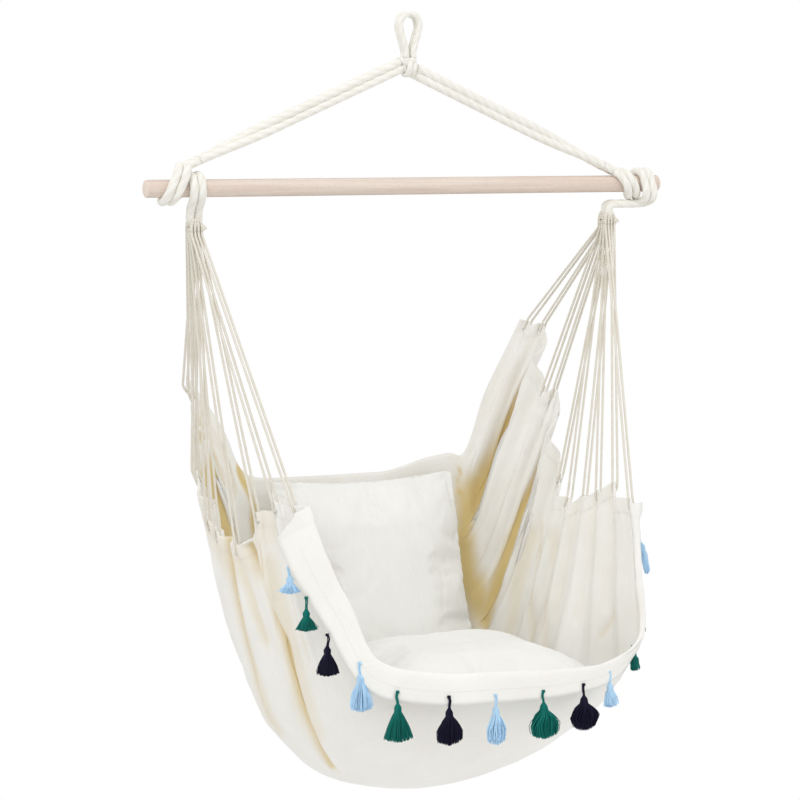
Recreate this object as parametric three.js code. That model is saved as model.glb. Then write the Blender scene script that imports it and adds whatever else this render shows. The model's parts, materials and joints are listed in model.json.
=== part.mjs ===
// Hammock chair: a cotton pouch with loose cushions, hung by cords from a wooden spreader bar.
// Millimetres, +Z up, +X along the bar to the sitter's left, the sitter faces -Y.
// The origin is the inside top of the hanging eye, where the eye bears on its hook.
import * as THREE from 'three';

// Spreader bar
const barLength = 1000;
const barDiameter = 30;
const barChamfer = 3;
const barDrop = 287;
const barShift = 9;
const barSides = 24;

// Doubled suspension rope
const ropeDiameter = 12.5;
const ropeSides = 8;
const ropeSpacing = 13.2;
const legSteps = 12;
const legTwistStartShare = 0.55;
// How far above the middle of the knot the left leg aims
const leftLegRise = 11;

// Hanging eye
const eyeInnerWidth = 18;
const eyeThroatDrop = 46;
const eyeSteps = 26;

// Knot under the eye
const knotDrop = 80;
const knotRadius = 17;
const knotCordDiameter = 9;
const knotTurns = 2;
const knotPitch = 9.6;
const leftKnotEndReach = 16;
const rightKnotEndReach = 14.64;

// Wraps on the bar, a strap of flattened rope, placed inwards of the ends of the bar
const strapWidth = 28;
const strapThickness = 14;
const strapSides = 6;
const stepsPerLoop = 24;
const leftOuterTurnInset = 23;
const leftStartInset = 70;
const rightStartInset = 91;
const rightOuterTurnInset = 32;
const tailBendRadius = 9;
const tailRun = 5;
const tailStraightShare = 0.13;
const tailSteps = 7;
const tailBends = 5;

// Angles that the wraps reach round the bar, in degrees from its top over its front
const leftOutAngle = 180;
const leftReturnAngle = 330;
const leftLastAngle = 450;
const rightOutAngle = 450;
const rightCrossAngle = 495;
// Steps of a wrap over which it climbs onto the turn that it crosses
const liftSteps = 4;
// How far the right wrap runs on under the bar before it turns inwards, in steps and in strap widths
const crossRunShare = 1.6;
const crossBendShare = 0.84;
const crossShares = [0.25, 0.5, 0.75, 1];

// Cord heads under the wraps
const headInset = 97;
const headBallRadius = 9;
const headSkirtDrop = 13.5;
const headWidth = 28;
const headDepth = 30;
const headSides = 16;
const headFlareShare = 0.72;
const headAngles = [25, 50, 75, 100];

// Seat cords, hairpins through the hem
const cordDiameter = 4;
const cordSpacing = 4.6;
const cordSides = 8;
const cordLead = 5;
const bendSteps = 4;

// Seat cloth
const clothThickness = 4;
const seatHalfWidth = 350;
const seatBackReach = 228;
const seatFrontReach = 347;
const seatDrop = 1380;
const eyeletWidth = 9;
const eyeletHeight = 10.5;
const hemDepth = 12;
const valleyDrop = 15;
const foldDepth = 9;
const deepFoldDepth = 26;
const flapWidth = 52;
const flapStand = 9;
const eyeletStationShare = 0.008;
// Where the back section of the cloth ends and the front one begins
const backSectionEndShare = 0.4;
const frontSectionStartShare = 0.62;
// Where on a section the folds of the hem begin, and over how much of it they grow
const foldStartShare = 0.25;
const foldGrowthShare = 0.6;
// Where on a section its upper part is felt for the way that the hem hangs
const hangShare = 0.9;
// Where the flap begins to turn sideways, over how much of the half width, and how far
const flapTurnStartShare = 0.55;
const flapTurnGrowthShare = 0.35;
const flapTurnShare = 1.1;
// How far the crest and the edge of the flap lie off and out, as shares of its stand
const crestStandShare = 0.85;
const crestReachShare = 0.3;
const edgeStandShare = 1.1;
const leftLipRecess = 12;
const rightLipRecess = 66;

// Cushions
const seatCushionWidth = 420;
const seatCushionDepth = 394;
const seatCushionCrown = 40;
const seatCushionShift = 40;
const seatCushionY = -126;
const seatCushionTop = 1088;
const seatCushionThickness = 200;
const seatCornerShare = 0.08;
const backCushionWidth = 400;
const backCushionHeight = 470;
const backCushionThickness = 125;
const backCushionLean = 9;
const backCushionTop = 822;
const cushionDrawIn = 14;
const cushionCells = 14;
// Reach over which a cushion feels for the cloth around each of its points
const cushionFeel = 12;

// Tassels
const tasselKnotRadius = 2.8;
const tasselThreadRadius = 1.3;
const tasselThreadDrop = 17;
const tasselHeadRadius = 6.5;
const tasselNeckRadius = 4.6;
const tasselSkirtRadius = 23;
const tasselLength = 76;
const tasselSides = 12;
const tasselSeat = 13;
const tasselLeastLean = 3;
const tasselMostLean = 40;
const tasselFlatShare = 0.44;
const tasselHeadShare = 0.3;
const tasselNeckShare = 1.6;
// The bell of the skirt, as shares of its radius and of its length above its foot
const tasselBellShares = [[0.62, 0.45], [1, 0.08], [0.82, 0]];
// Slope of the edge, as a share of its length, past which a tassel hangs past it
const steepShare = 0.66;

// Clearance kept between pieces that touch
const clearance = 0.3;
// Clearance between turns that pass over each other, and of cords round the hem
const turnClearance = 0.5;
// Clearance of a cushion that rests on cloth
const restClearance = 0.95;

// Places of the ten hem tabs a side, as shares of the half width, back reach and seat drop
const rightTabShares = [
  [0.957, 0.833, 0.397], [1.006, 0.724, 0.400], [0.966, 0.561, 0.484], [1.000, 0.474, 0.487],
  [1.006, 0.395, 0.603], [1.000, 0.263, 0.632], [0.994, -0.022, 0.622], [0.986, -0.272, 0.610],
  [0.971, -0.561, 0.594], [0.921, -0.943, 0.607],
];
const leftTabShares = [
  [0.966, 0.855, 0.464], [0.980, 0.702, 0.475], [0.980, 0.640, 0.572], [0.994, 0.526, 0.580],
  [1.006, 0.263, 0.629], [1.006, 0.066, 0.638], [1.000, -0.307, 0.646], [0.986, -0.702, 0.596],
  [0.949, -0.899, 0.580], [0.880, -1.031, 0.582],
];
// Where along the cloth, from back edge to front ridge, each tab stands
const tabStationShares = [0.02, 0.08, 0.19, 0.25, 0.39, 0.48, 0.60, 0.72, 0.84, 0.965];
// The lowest line of the pouch from back edge to front ridge, as shares of reach and drop
const keelShares = [
  [1.00, 0.600], [0.99, 0.714], [0.90, 0.833], [0.66, 0.934], [0.31, 0.989],
  [-0.09, 0.9925], [-0.40, 0.966], [-0.70, 0.895], [-1.00, 0.792],
];
// Cross-sections from keel to hem, as shares of the way out and the way up
const backSectionShares = [[0, 0], [0.34, 0.0], [0.64, 0.05], [0.80, 0.52], [1, 1]];
const middleSectionShares = [[0, 0], [0.45, 0.076], [0.72, 0.293], [0.88, 0.617], [1, 1]];
const rightFrontShares = [[0, 0], [0.40, -0.03], [0.74, -0.03], [0.98, 0.08], [1, 0.55], [1, 1]];
const leftFrontShares = [[0, 0], [0.40, 0.03], [0.71, 0.13], [0.83, 0.45], [0.94, 0.76], [1, 1]];
// Which way the turned-over front hem leans, from left corner over the middle to right corner
const flapLeanShares = [
  [-1.05, 0.25, -0.35], [-1.08, 0.22, -0.45], [-1.0, 0.18, -0.55], [-0.40, -0.02, -0.95],
  [0, -0.06, -0.95], [0.05, 0.05, -0.75], [0.30, 1.02, -0.25], [0.50, 0.90, -0.10], [0.50, 0.88, 0],
];
// How far that hem stands off the cloth along the same way, as shares of its stand
const flapStandShares = [1.2, 1.1, 1, 1, 1, 1, 1.8, 2.2, 2.3];

// Deep folds follow these tabs, each in three columns: place, fold and drop as shares of its span
const deepFoldTabs = [1, 3];
const deepFoldShares = [[0.32, 0.4, 0.6], [0.5, -1, 1], [0.68, 0.4, 0.6]];

// Where along the edge of that hem, from left to right, the tassels hang
const tasselStationShares = [
  0.067, 0.119, 0.178, 0.240, 0.308, 0.392, 0.466, 0.544, 0.618, 0.680, 0.770, 0.848, 0.949,
];
// How wide their skirts are, as shares of the skirt radius
const tasselWidthShares = [0.76, 0.8, 0.84, 0.88, 1, 1, 0.9, 1, 1, 0.88, 0.9, 0.9, 0.84];

// Materials
const cottonRope = { color: 0xf1eee3, roughness: 0.9, metalness: 0 };
const cottonCloth = { color: 0xefece1, roughness: 0.92, metalness: 0 };
const cushionCloth = { color: 0xf0eee6, roughness: 0.92, metalness: 0 };
const beech = { color: 0xe0cab9, roughness: 0.6, metalness: 0 };
const paleBlueYarn = { color: 0xa3d0f5, roughness: 0.95, metalness: 0 };
const greenYarn = { color: 0x14756b, roughness: 0.95, metalness: 0 };
const navyYarn = { color: 0x17152a, roughness: 0.95, metalness: 0 };

// Places that follow from the ends of the bar
const leftEnd = barLength / 2 - barShift;
const rightEnd = barLength / 2 + barShift;
const leftStartX = leftEnd - leftStartInset;
const leftOuterTurnX = leftEnd - leftOuterTurnInset;
const rightStartX = rightEnd - rightStartInset;
const rightOuterTurnX = rightEnd - rightOuterTurnInset;
const headX = barLength / 2 - headInset;

const chair = new THREE.Group();
const up = new THREE.Vector3(0, 0, 1);
const fullTurn = 2 * Math.PI;

function vec(x, y, z) {
  return new THREE.Vector3(x, y, z);
}

function addMesh(name, geometry, look) {
  const mesh = new THREE.Mesh(geometry, new THREE.MeshStandardMaterial(look));
  mesh.name = name;
  chair.add(mesh);
  return mesh;
}

function smooth(value) {
  const t = Math.min(1, Math.max(0, value));
  return t * t * (3 - 2 * t);
}

function geometryFrom(positions, triangles) {
  const geometry = new THREE.BufferGeometry();
  geometry.setAttribute('position', new THREE.Float32BufferAttribute(positions.flat(), 3));
  geometry.setIndex(triangles.flat());
  geometry.computeVertexNormals();
  return geometry;
}

// A closed tube of elliptical section along points, each with the direction of its thin side
function sweep(points, thinSides, halfWidth, halfThickness, sides) {
  const rings = points.map((point, i) => {
    const before = points[Math.max(0, i - 1)];
    const after = points[Math.min(points.length - 1, i + 1)];
    const tangent = after.clone().sub(before).normalize();
    const thin = thinSides[i].clone().addScaledVector(tangent, -thinSides[i].dot(tangent)).normalize();
    const wide = thin.clone().cross(tangent);
    return Array.from({ length: sides }, (_, k) => {
      const angle = (k + 0.5) * fullTurn / sides;
      return point.clone()
        .addScaledVector(wide, halfWidth * Math.cos(angle))
        .addScaledVector(thin, halfThickness * Math.sin(angle));
    });
  });
  const positions = rings.flat().map((p) => p.toArray());
  const triangles = [];
  for (let i = 0; i + 1 < rings.length; i += 1) {
    for (let k = 0; k < sides; k += 1) {
      const next = (k + 1) % sides;
      const a = i * sides + k;
      const b = i * sides + next;
      triangles.push([a, b, b + sides], [a, b + sides, a + sides]);
    }
  }
  const last = (rings.length - 1) * sides;
  for (let k = 1; k + 1 < sides; k += 1) {
    triangles.push([0, k + 1, k], [last, last + k, last + k + 1]);
  }
  return geometryFrom(positions, triangles);
}

// The least gap that a wound tube keeps to itself, measured on its points past near neighbours
function leastGap(points, skip, reach) {
  let least = Infinity;
  for (let i = 0; i < points.length; i += 1) {
    for (let j = i + skip; j < points.length; j += 1) {
      least = Math.min(least, reach(points[i], points[j]));
    }
  }
  return least;
}

// Spreader bar
function makeBar() {
  const radius = barDiameter / 2;
  const half = barLength / 2;
  const profile = [
    new THREE.Vector2(0, -half),
    new THREE.Vector2(radius - barChamfer, -half),
    new THREE.Vector2(radius, -half + barChamfer),
    new THREE.Vector2(radius, half - barChamfer),
    new THREE.Vector2(radius - barChamfer, half),
    new THREE.Vector2(0, half),
  ];
  const bar = addMesh('spreader_bar', new THREE.LatheGeometry(profile, barSides), beech);
  bar.rotation.z = -Math.PI / 2;
  bar.position.set(barShift, 0, -barDrop);
}

// Hanging eye: two strands side by side, each a bight with its ends in the knot
function makeEye() {
  const strand = ropeDiameter / 2;
  const bow = eyeInnerWidth / 2 + strand;
  const foot = -(knotDrop - knotRadius - clearance);
  const throatX = ropeSpacing / 2;
  const route = [
    vec(-throatX, 0, foot),
    vec(-throatX, 0, -eyeThroatDrop),
    vec(-(bow + throatX) / 2, 0, -(eyeThroatDrop + bow) / 2),
    vec(-bow, 0, strand - bow),
    vec(-bow * Math.SQRT1_2, 0, strand - bow + bow * Math.SQRT1_2),
    vec(0, 0, strand),
    vec(bow * Math.SQRT1_2, 0, strand - bow + bow * Math.SQRT1_2),
    vec(bow, 0, strand - bow),
    vec((bow + throatX) / 2, 0, -(eyeThroatDrop + bow) / 2),
    vec(throatX, 0, -eyeThroatDrop),
    vec(throatX, 0, foot),
  ];
  const section = new THREE.Shape();
  section.absarc(0, 0, strand, 0, fullTurn);
  for (const [name, side] of [['eye_strand_front', -1], ['eye_strand_back', 1]]) {
    const geometry = new THREE.ExtrudeGeometry(section, {
      curveSegments: ropeSides,
      steps: eyeSteps,
      extrudePath: new THREE.CatmullRomCurve3(route),
    });
    const mesh = addMesh(name, geometry, cottonRope);
    mesh.position.y = side * ropeSpacing / 2;
  }
}

// Knot under the eye: turns about a level axis, all inside one ball so that it can roll in its seat
function makeKnot() {
  const thick = knotCordDiameter / 2;
  const count = knotTurns * stepsPerLoop;
  const points = [];
  const thinSides = [];
  for (let i = 0; i <= count; i += 1) {
    const along = (i / stepsPerLoop - knotTurns / 2) * knotPitch;
    const angle = i * fullTurn / stepsPerLoop;
    const reach = Math.sqrt((knotRadius - thick) ** 2 - along ** 2);
    points.push(vec(along, reach * Math.sin(angle), reach * Math.cos(angle)));
    thinSides.push(points[i].clone().setX(0).normalize());
  }
  const gap = leastGap(points, stepsPerLoop / 2, (a, b) => a.distanceTo(b) - knotCordDiameter);
  console.log(`knot: least gap between turns ${gap.toFixed(2)} mm`);
  const knot = addMesh('eye_knot', sweep(points, thinSides, thick, thick, strapSides), cottonRope);
  knot.position.z = -knotDrop;
}

// Wraps on the bar, in cylinder coordinates about the bar
const wrapRadius = barDiameter / 2 + clearance + strapThickness / 2;
const crossRadius = wrapRadius + strapThickness + turnClearance;
const headPivotDrop = barDrop + crossRadius + tailBendRadius + tailRun + clearance + headBallRadius;
const tailEndDrop = headPivotDrop - headBallRadius - clearance;
const stepAngle = 360 / stepsPerLoop;

function aroundBar(x, degrees, radius) {
  const angle = THREE.MathUtils.degToRad(degrees);
  return vec(x, -radius * Math.sin(angle), radius * Math.cos(angle) - barDrop);
}

function outOfBar(point) {
  return vec(0, point.y, point.z + barDrop).normalize();
}

function strapGap(points) {
  const flat = strapThickness / strapWidth;
  return leastGap(points, stepsPerLoop / 2, (a, b) => {
    const radial = Math.abs(Math.hypot(a.y, a.z + barDrop) - Math.hypot(b.y, b.z + barDrop));
    const other = Math.sqrt(Math.max(0, a.distanceToSquared(b) - radial * radial));
    const way = Math.hypot(other, radial / flat);
    return (way - strapWidth) * (other > radial ? 1 : flat);
  });
}

function legRun(start) {
  const toKnot = vec(0, 0, -knotDrop).sub(start).normalize();
  return start.clone().addScaledVector(toKnot, strapWidth);
}

// Left: over the turn that follows, down the front, once round and down to the cord head
function leftWrap() {
  const first = aroundBar(-leftStartX, 0, crossRadius);
  const points = [legRun(first), legRun(first).lerp(first, 0.5)];
  const thinSides = [up.clone(), up.clone()];
  for (let degrees = 0; degrees <= leftLastAngle; degrees += stepAngle) {
    const out = Math.sin(Math.min(degrees / leftOutAngle, 1) * Math.PI / 2);
    const back = smooth((degrees - leftOutAngle) / (leftReturnAngle - leftOutAngle));
    const x = -leftStartX - (leftOuterTurnX - leftStartX) * out + (leftOuterTurnX - headX) * back;
    const lift = 1 - smooth((degrees - stepAngle) / (liftSteps * stepAngle));
    const point = aroundBar(x, degrees, wrapRadius + (crossRadius - wrapRadius) * lift);
    points.push(point);
    thinSides.push(outOfBar(point));
  }
  const turnCount = points.length;
  const top = points[turnCount - 1];
  for (let i = 1; i <= tailSteps; i += 1) {
    const share = i / tailSteps;
    const z = THREE.MathUtils.lerp(top.z, -tailEndDrop, share);
    const inward = smooth((share - tailStraightShare) / (1 - 2 * tailStraightShare));
    points.push(vec(-headX, top.y * (1 - inward), z));
    thinSides.push(vec(0, -1, 0));
  }
  return { points, thinSides };
}

// Right: down the front, once round outwards, then back under the first turn to the cord head
function rightWrap() {
  const first = aroundBar(rightStartX, 0, wrapRadius);
  const points = [legRun(first), legRun(first).lerp(first, 0.5)];
  const thinSides = [up.clone(), up.clone()];
  for (let degrees = 0; degrees <= rightCrossAngle; degrees += stepAngle) {
    const out = 1 - (1 - Math.min(degrees / rightOutAngle, 1)) ** 2;
    const lift = smooth((degrees - rightCrossAngle) / (liftSteps * stepAngle) + 1);
    const x = rightStartX + (rightOuterTurnX - rightStartX) * out;
    const point = aroundBar(x, degrees, wrapRadius + (crossRadius - wrapRadius) * lift);
    points.push(point);
    thinSides.push(outOfBar(point));
  }
  const corner = points[points.length - 1];
  const under = -barDrop - crossRadius;
  const bendX = headX + tailBendRadius;
  const turn = new THREE.CubicBezierCurve3(
    corner,
    aroundBar(corner.x, rightCrossAngle + stepAngle * crossRunShare, crossRadius),
    vec(corner.x, 0, under),
    vec(corner.x - strapWidth * crossBendShare, 0, under),
  );
  for (const share of crossShares) {
    points.push(turn.getPoint(share));
    thinSides.push(outOfBar(points[points.length - 1]));
  }
  const runEnd = points[points.length - 1].x;
  for (const share of [0.5, 1]) {
    points.push(vec(THREE.MathUtils.lerp(runEnd, bendX, share), 0, under));
    thinSides.push(vec(0, 0, -1));
  }
  for (let i = 1; i <= tailBends; i += 1) {
    const angle = i / tailBends * Math.PI / 2;
    const x = bendX - tailBendRadius * Math.sin(angle);
    points.push(vec(x, 0, under - tailBendRadius * (1 - Math.cos(angle))));
    thinSides.push(vec(Math.sin(angle), 0, -Math.cos(angle)));
  }
  points.push(vec(headX, 0, -tailEndDrop));
  thinSides.push(vec(1, 0, 0));
  return { points, thinSides };
}

function makeWraps() {
  const wraps = { left: leftWrap(), right: rightWrap() };
  for (const [side, wrap] of Object.entries(wraps)) {
    const geometry = sweep(wrap.points, wrap.thinSides, strapWidth / 2, strapThickness / 2, strapSides);
    addMesh(`${side}_bar_wrap`, geometry, cottonRope);
    console.log(`${side} wrap: least gap between turns ${strapGap(wrap.points).toFixed(2)} mm`);
  }
  return wraps;
}

// Suspension legs: two strands each from the knot to the start of the wrap, turned side by side there
class LegStrand extends THREE.Curve {
  constructor(from, to, side) {
    super();
    this.from = from;
    this.to = to;
    this.side = side;
    this.along = to.clone().sub(from).normalize();
    this.level = vec(0, 1, 0);
    this.over = this.along.clone().cross(this.level).normalize();
    this.over.multiplyScalar(Math.sign(this.over.z));
  }

  getPoint(t) {
    const turn = smooth((t - legTwistStartShare) / (1 - legTwistStartShare)) * Math.PI / 2;
    return this.from.clone().lerp(this.to, t)
      .addScaledVector(this.over, this.side * Math.cos(turn) * ropeSpacing / 2)
      .addScaledVector(this.level, this.side * Math.sin(turn) * ropeSpacing / 2);
  }
}

function makeLegs(wraps) {
  const section = new THREE.Shape();
  section.absarc(0, 0, ropeDiameter / 2, 0, fullTurn);
  const rises = { left: leftLegRise, right: 0 };
  const reaches = { left: leftKnotEndReach, right: rightKnotEndReach };
  for (const [side, wrap] of Object.entries(wraps)) {
    const aim = vec(0, 0, rises[side] - knotDrop);
    const foot = wrap.points[0];
    const away = foot.clone().sub(aim).normalize();
    const from = aim.clone().addScaledVector(away, reaches[side]);
    const to = foot.clone().addScaledVector(away, -clearance);
    for (const [name, sign] of [['upper', 1], ['lower', -1]]) {
      const geometry = new THREE.ExtrudeGeometry(section, {
        curveSegments: ropeSides,
        steps: legSteps,
        extrudePath: new LegStrand(from, to, sign),
      });
      addMesh(`${side}_leg_rope_${name}`, geometry, cottonRope);
    }
  }
}

// Cord heads: a ball under the wrap that flares to the bundle of seat cords
function makeHeads() {
  const flare = headDepth / 2;
  const profile = [new THREE.Vector2(0, headBallRadius)];
  for (const degrees of headAngles) {
    const angle = THREE.MathUtils.degToRad(degrees);
    profile.push(new THREE.Vector2(headBallRadius * Math.sin(angle), headBallRadius * Math.cos(angle)));
  }
  profile.push(new THREE.Vector2(flare, -headSkirtDrop * headFlareShare));
  profile.push(new THREE.Vector2(flare, -headSkirtDrop));
  profile.push(new THREE.Vector2(0, -headSkirtDrop));
  profile.reverse();
  for (const [name, side] of [['left_cord_head', -1], ['right_cord_head', 1]]) {
    const geometry = new THREE.LatheGeometry(profile, headSides);
    geometry.rotateX(Math.PI / 2);
    geometry.scale(headWidth / headDepth, 1, 1);
    const head = addMesh(name, geometry, cottonRope);
    head.position.set(side * headX, 0, -headPivotDrop);
  }
}

// Seat cloth: hem, keel and cross-sections
const keel = new THREE.CatmullRomCurve3(keelShares.map(([reach, drop]) => {
  const depth = reach > 0 ? seatBackReach : seatFrontReach;
  return vec(0, reach * depth, -drop * seatDrop);
}));

function tabPlaces(shares, side) {
  return shares.map(([out, reach, drop]) => (
    vec(side * out * seatHalfWidth, reach * seatBackReach, -drop * seatDrop)
  ));
}

function shareCurve(shares) {
  return new THREE.CatmullRomCurve3(shares.map(([out, rise]) => vec(out, rise, 0)));
}

const backSection = shareCurve(backSectionShares);
const middleSection = shareCurve(middleSectionShares);

class ClothSide {
  constructor(side, tabs, front, recede) {
    this.side = side;
    this.tabs = tabs;
    this.recede = recede;
    this.front = shareCurve(front);
    this.hem = new THREE.CatmullRomCurve3(tabs, false, 'centripetal');
  }

  // The hem place at a station, run on past the first and last tab to the edges of the cloth
  hemPlace(station) {
    const last = tabStationShares.length - 1;
    if (station <= tabStationShares[0] || station >= tabStationShares[last]) {
      const end = station <= tabStationShares[0] ? 0 : last;
      const way = (station - tabStationShares[end]) * (seatBackReach + seatFrontReach);
      const tangent = this.hem.getTangent(end / last);
      return this.tabs[end].clone().addScaledVector(tangent, way);
    }
    let i = 0;
    while (station > tabStationShares[i + 1]) {
      i += 1;
    }
    const share = (station - tabStationShares[i]) / (tabStationShares[i + 1] - tabStationShares[i]);
    return this.hem.getPoint((i + share) / last);
  }

  // The cross-section at a station: share 0 at the keel, 1 at the hem
  sectionPoint(station, share, hem) {
    const low = keel.getPoint(station);
    const towardBack = 1 - smooth(station / backSectionEndShare);
    const towardFront = smooth((station - frontSectionStartShare) / (1 - frontSectionStartShare));
    const middle = 1 - towardBack - towardFront;
    const way = backSection.getPoint(share).multiplyScalar(towardBack)
      .addScaledVector(middleSection.getPoint(share), middle)
      .addScaledVector(this.front.getPoint(share), towardFront);
    const recede = this.recede * towardFront * way.x * way.x * (1 - way.y);
    return vec(
      low.x + (hem.x - low.x) * way.x,
      low.y + (hem.y - low.y) * way.y + recede,
      low.z + (hem.z - low.z) * way.y,
    );
  }
}

const clothSides = {
  left: new ClothSide(-1, tabPlaces(leftTabShares, -1), leftFrontShares, leftLipRecess),
  right: new ClothSide(1, tabPlaces(rightTabShares, 1), rightFrontShares, rightLipRecess),
};

// Columns run from the back edge to the front ridge: two at each tab, valleys between
function clothColumns() {
  const columns = [{ station: 0, place: 0, fold: 0, drop: 0 }];
  tabStationShares.forEach((station, tab) => {
    columns.push({ station: station - eyeletStationShare, tab, place: -1, fold: 1, drop: 0 });
    columns.push({ station: station + eyeletStationShare, tab, place: 1, fold: 1, drop: 0 });
    const next = tabStationShares[tab + 1];
    if (next === undefined) {
      return;
    }
    const span = next - station;
    if (deepFoldTabs.includes(tab)) {
      for (const [share, fold, drop] of deepFoldShares) {
        columns.push({ station: station + span * share, place: 0, fold, drop, deep: fold < 0 });
      }
    } else {
      columns.push({ station: station + span / 2, place: 0, fold: -1, drop: 1 });
    }
  });
  columns.push({ station: 1, place: 0, fold: 0, drop: 0 });
  return columns;
}

const lowerRowShares = [0.87, 0.70, 0.50, 0.30, 0.11];

// One column of places on one side, from the hem edge down to the last row before the keel
function columnPlaces(clothSide, column) {
  const hem = clothSide.hemPlace(column.station);
  hem.z -= column.drop * valleyDrop;
  const tab = column.tab === undefined ? hem : clothSide.tabs[column.tab];
  const probe = clothSide.sectionPoint(tabStationShares[column.tab] ?? column.station, hangShare, tab);
  const down = probe.clone().sub(tab).normalize();
  if (column.tab !== undefined) {
    const level = vec(0, -1, 0).addScaledVector(down, down.y).normalize();
    hem.copy(tab).addScaledVector(level, column.place * eyeletWidth / 2);
  }
  const outward = vec(clothSide.side, 0, 0);
  const foldNormal = outward.addScaledVector(down, -outward.dot(down)).normalize();
  const places = [
    hem,
    hem.clone().addScaledVector(down, hemDepth),
    hem.clone().addScaledVector(down, hemDepth + eyeletHeight),
    ...lowerRowShares.map((share) => clothSide.sectionPoint(column.station, share, hem)),
  ];
  const rowShares = [1, 1, 1, ...lowerRowShares];
  const depth = column.deep ? deepFoldDepth : foldDepth;
  return places.map((place, row) => {
    const fade = smooth((rowShares[row] - foldStartShare) / foldGrowthShare);
    return place.clone().addScaledVector(foldNormal, column.fold * depth * fade);
  });
}

function fullColumn(column) {
  const left = columnPlaces(clothSides.left, column);
  const right = columnPlaces(clothSides.right, column);
  return [...left, ...right.reverse()];
}

// The turned-over front hem: the ridge column carried out, over and down
function flapColumns(ridge) {
  const lean = new THREE.CatmullRomCurve3(flapLeanShares.map((l) => vec(...l)));
  const off = new THREE.CatmullRomCurve3(flapStandShares.map((share) => vec(share, 0, 0)));
  const rows = ridge.length;
  const crest = [];
  const edge = [];
  ridge.forEach((place, row) => {
    const way = lean.getPoint(row / (rows - 1));
    const forward = vec(0, -1, 0);
    const side = smooth((Math.abs(place.x) / seatHalfWidth - flapTurnStartShare) / flapTurnGrowthShare);
    forward.addScaledVector(vec(Math.sign(place.x), 0, 0), side * flapTurnShare).normalize();
    const stand = forward.clone().multiplyScalar(flapStand * off.getPoint(row / (rows - 1)).x);
    crest.push(place.clone().addScaledVector(stand, crestStandShare)
      .addScaledVector(way, flapStand * crestReachShare));
    edge.push(place.clone().addScaledVector(stand, edgeStandShare).addScaledVector(way, flapWidth));
  });
  return [crest, edge];
}

const columns = clothColumns();
const clothGrid = columns.map(fullColumn);
clothGrid.push(...flapColumns(clothGrid[clothGrid.length - 1]));
const eyeletRows = [1, clothGrid[0].length - 3];

function gridNormals(grid) {
  const normals = grid.map((column) => column.map(() => vec(0, 0, 0)));
  for (let i = 0; i + 1 < grid.length; i += 1) {
    for (let j = 0; j + 1 < grid[0].length; j += 1) {
      const across = grid[i + 1][j + 1].clone().sub(grid[i][j]);
      const other = grid[i + 1][j].clone().sub(grid[i][j + 1]);
      const normal = across.cross(other).normalize();
      for (const [di, dj] of [[0, 0], [1, 0], [0, 1], [1, 1]]) {
        normals[i + di][j + dj].add(normal);
      }
    }
  }
  normals.flat().forEach((normal) => normal.normalize());
  return normals;
}

// A thin closed sheet with square eyelets left out of its cells
function makeCloth() {
  const grid = clothGrid;
  const normals = gridNormals(grid);
  const rows = grid[0].length;
  const cols = grid.length;
  const half = clothThickness / 2;
  const count = rows * cols;
  const positions = [];
  for (const side of [1, -1]) {
    grid.forEach((column, i) => column.forEach((place, j) => {
      positions.push(place.clone().addScaledVector(normals[i][j], side * half).toArray());
    }));
  }
  const isHole = (i, j) => i >= 0 && j >= 0 && columns[i]?.place === -1 && columns[i].tab !== undefined
    && eyeletRows.includes(j);
  const isCell = (i, j) => i >= 0 && j >= 0 && i + 1 < cols && j + 1 < rows && !isHole(i, j);
  const triangles = [];
  const quad = (a, b, c, d) => triangles.push([a, b, c], [a, c, d]);
  const wall = (a, b) => quad(a, b, b + count, a + count);
  for (let i = 0; i + 1 < cols; i += 1) {
    for (let j = 0; j + 1 < rows; j += 1) {
      if (!isCell(i, j)) {
        continue;
      }
      const a = i * rows + j;
      const b = a + rows;
      quad(a, a + 1, b + 1, b);
      quad(a + count, b + count, b + 1 + count, a + 1 + count);
      if (!isCell(i, j - 1)) {
        wall(a, b);
      }
      if (!isCell(i, j + 1)) {
        wall(b + 1, a + 1);
      }
      if (!isCell(i - 1, j)) {
        wall(a + 1, a);
      }
      if (!isCell(i + 1, j)) {
        wall(b, b + 1);
      }
    }
  }
  const mesh = addMesh('seat_cloth', geometryFrom(positions, triangles), cottonCloth);
  mesh.updateMatrixWorld(true);
  return { mesh, normals };
}

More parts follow.
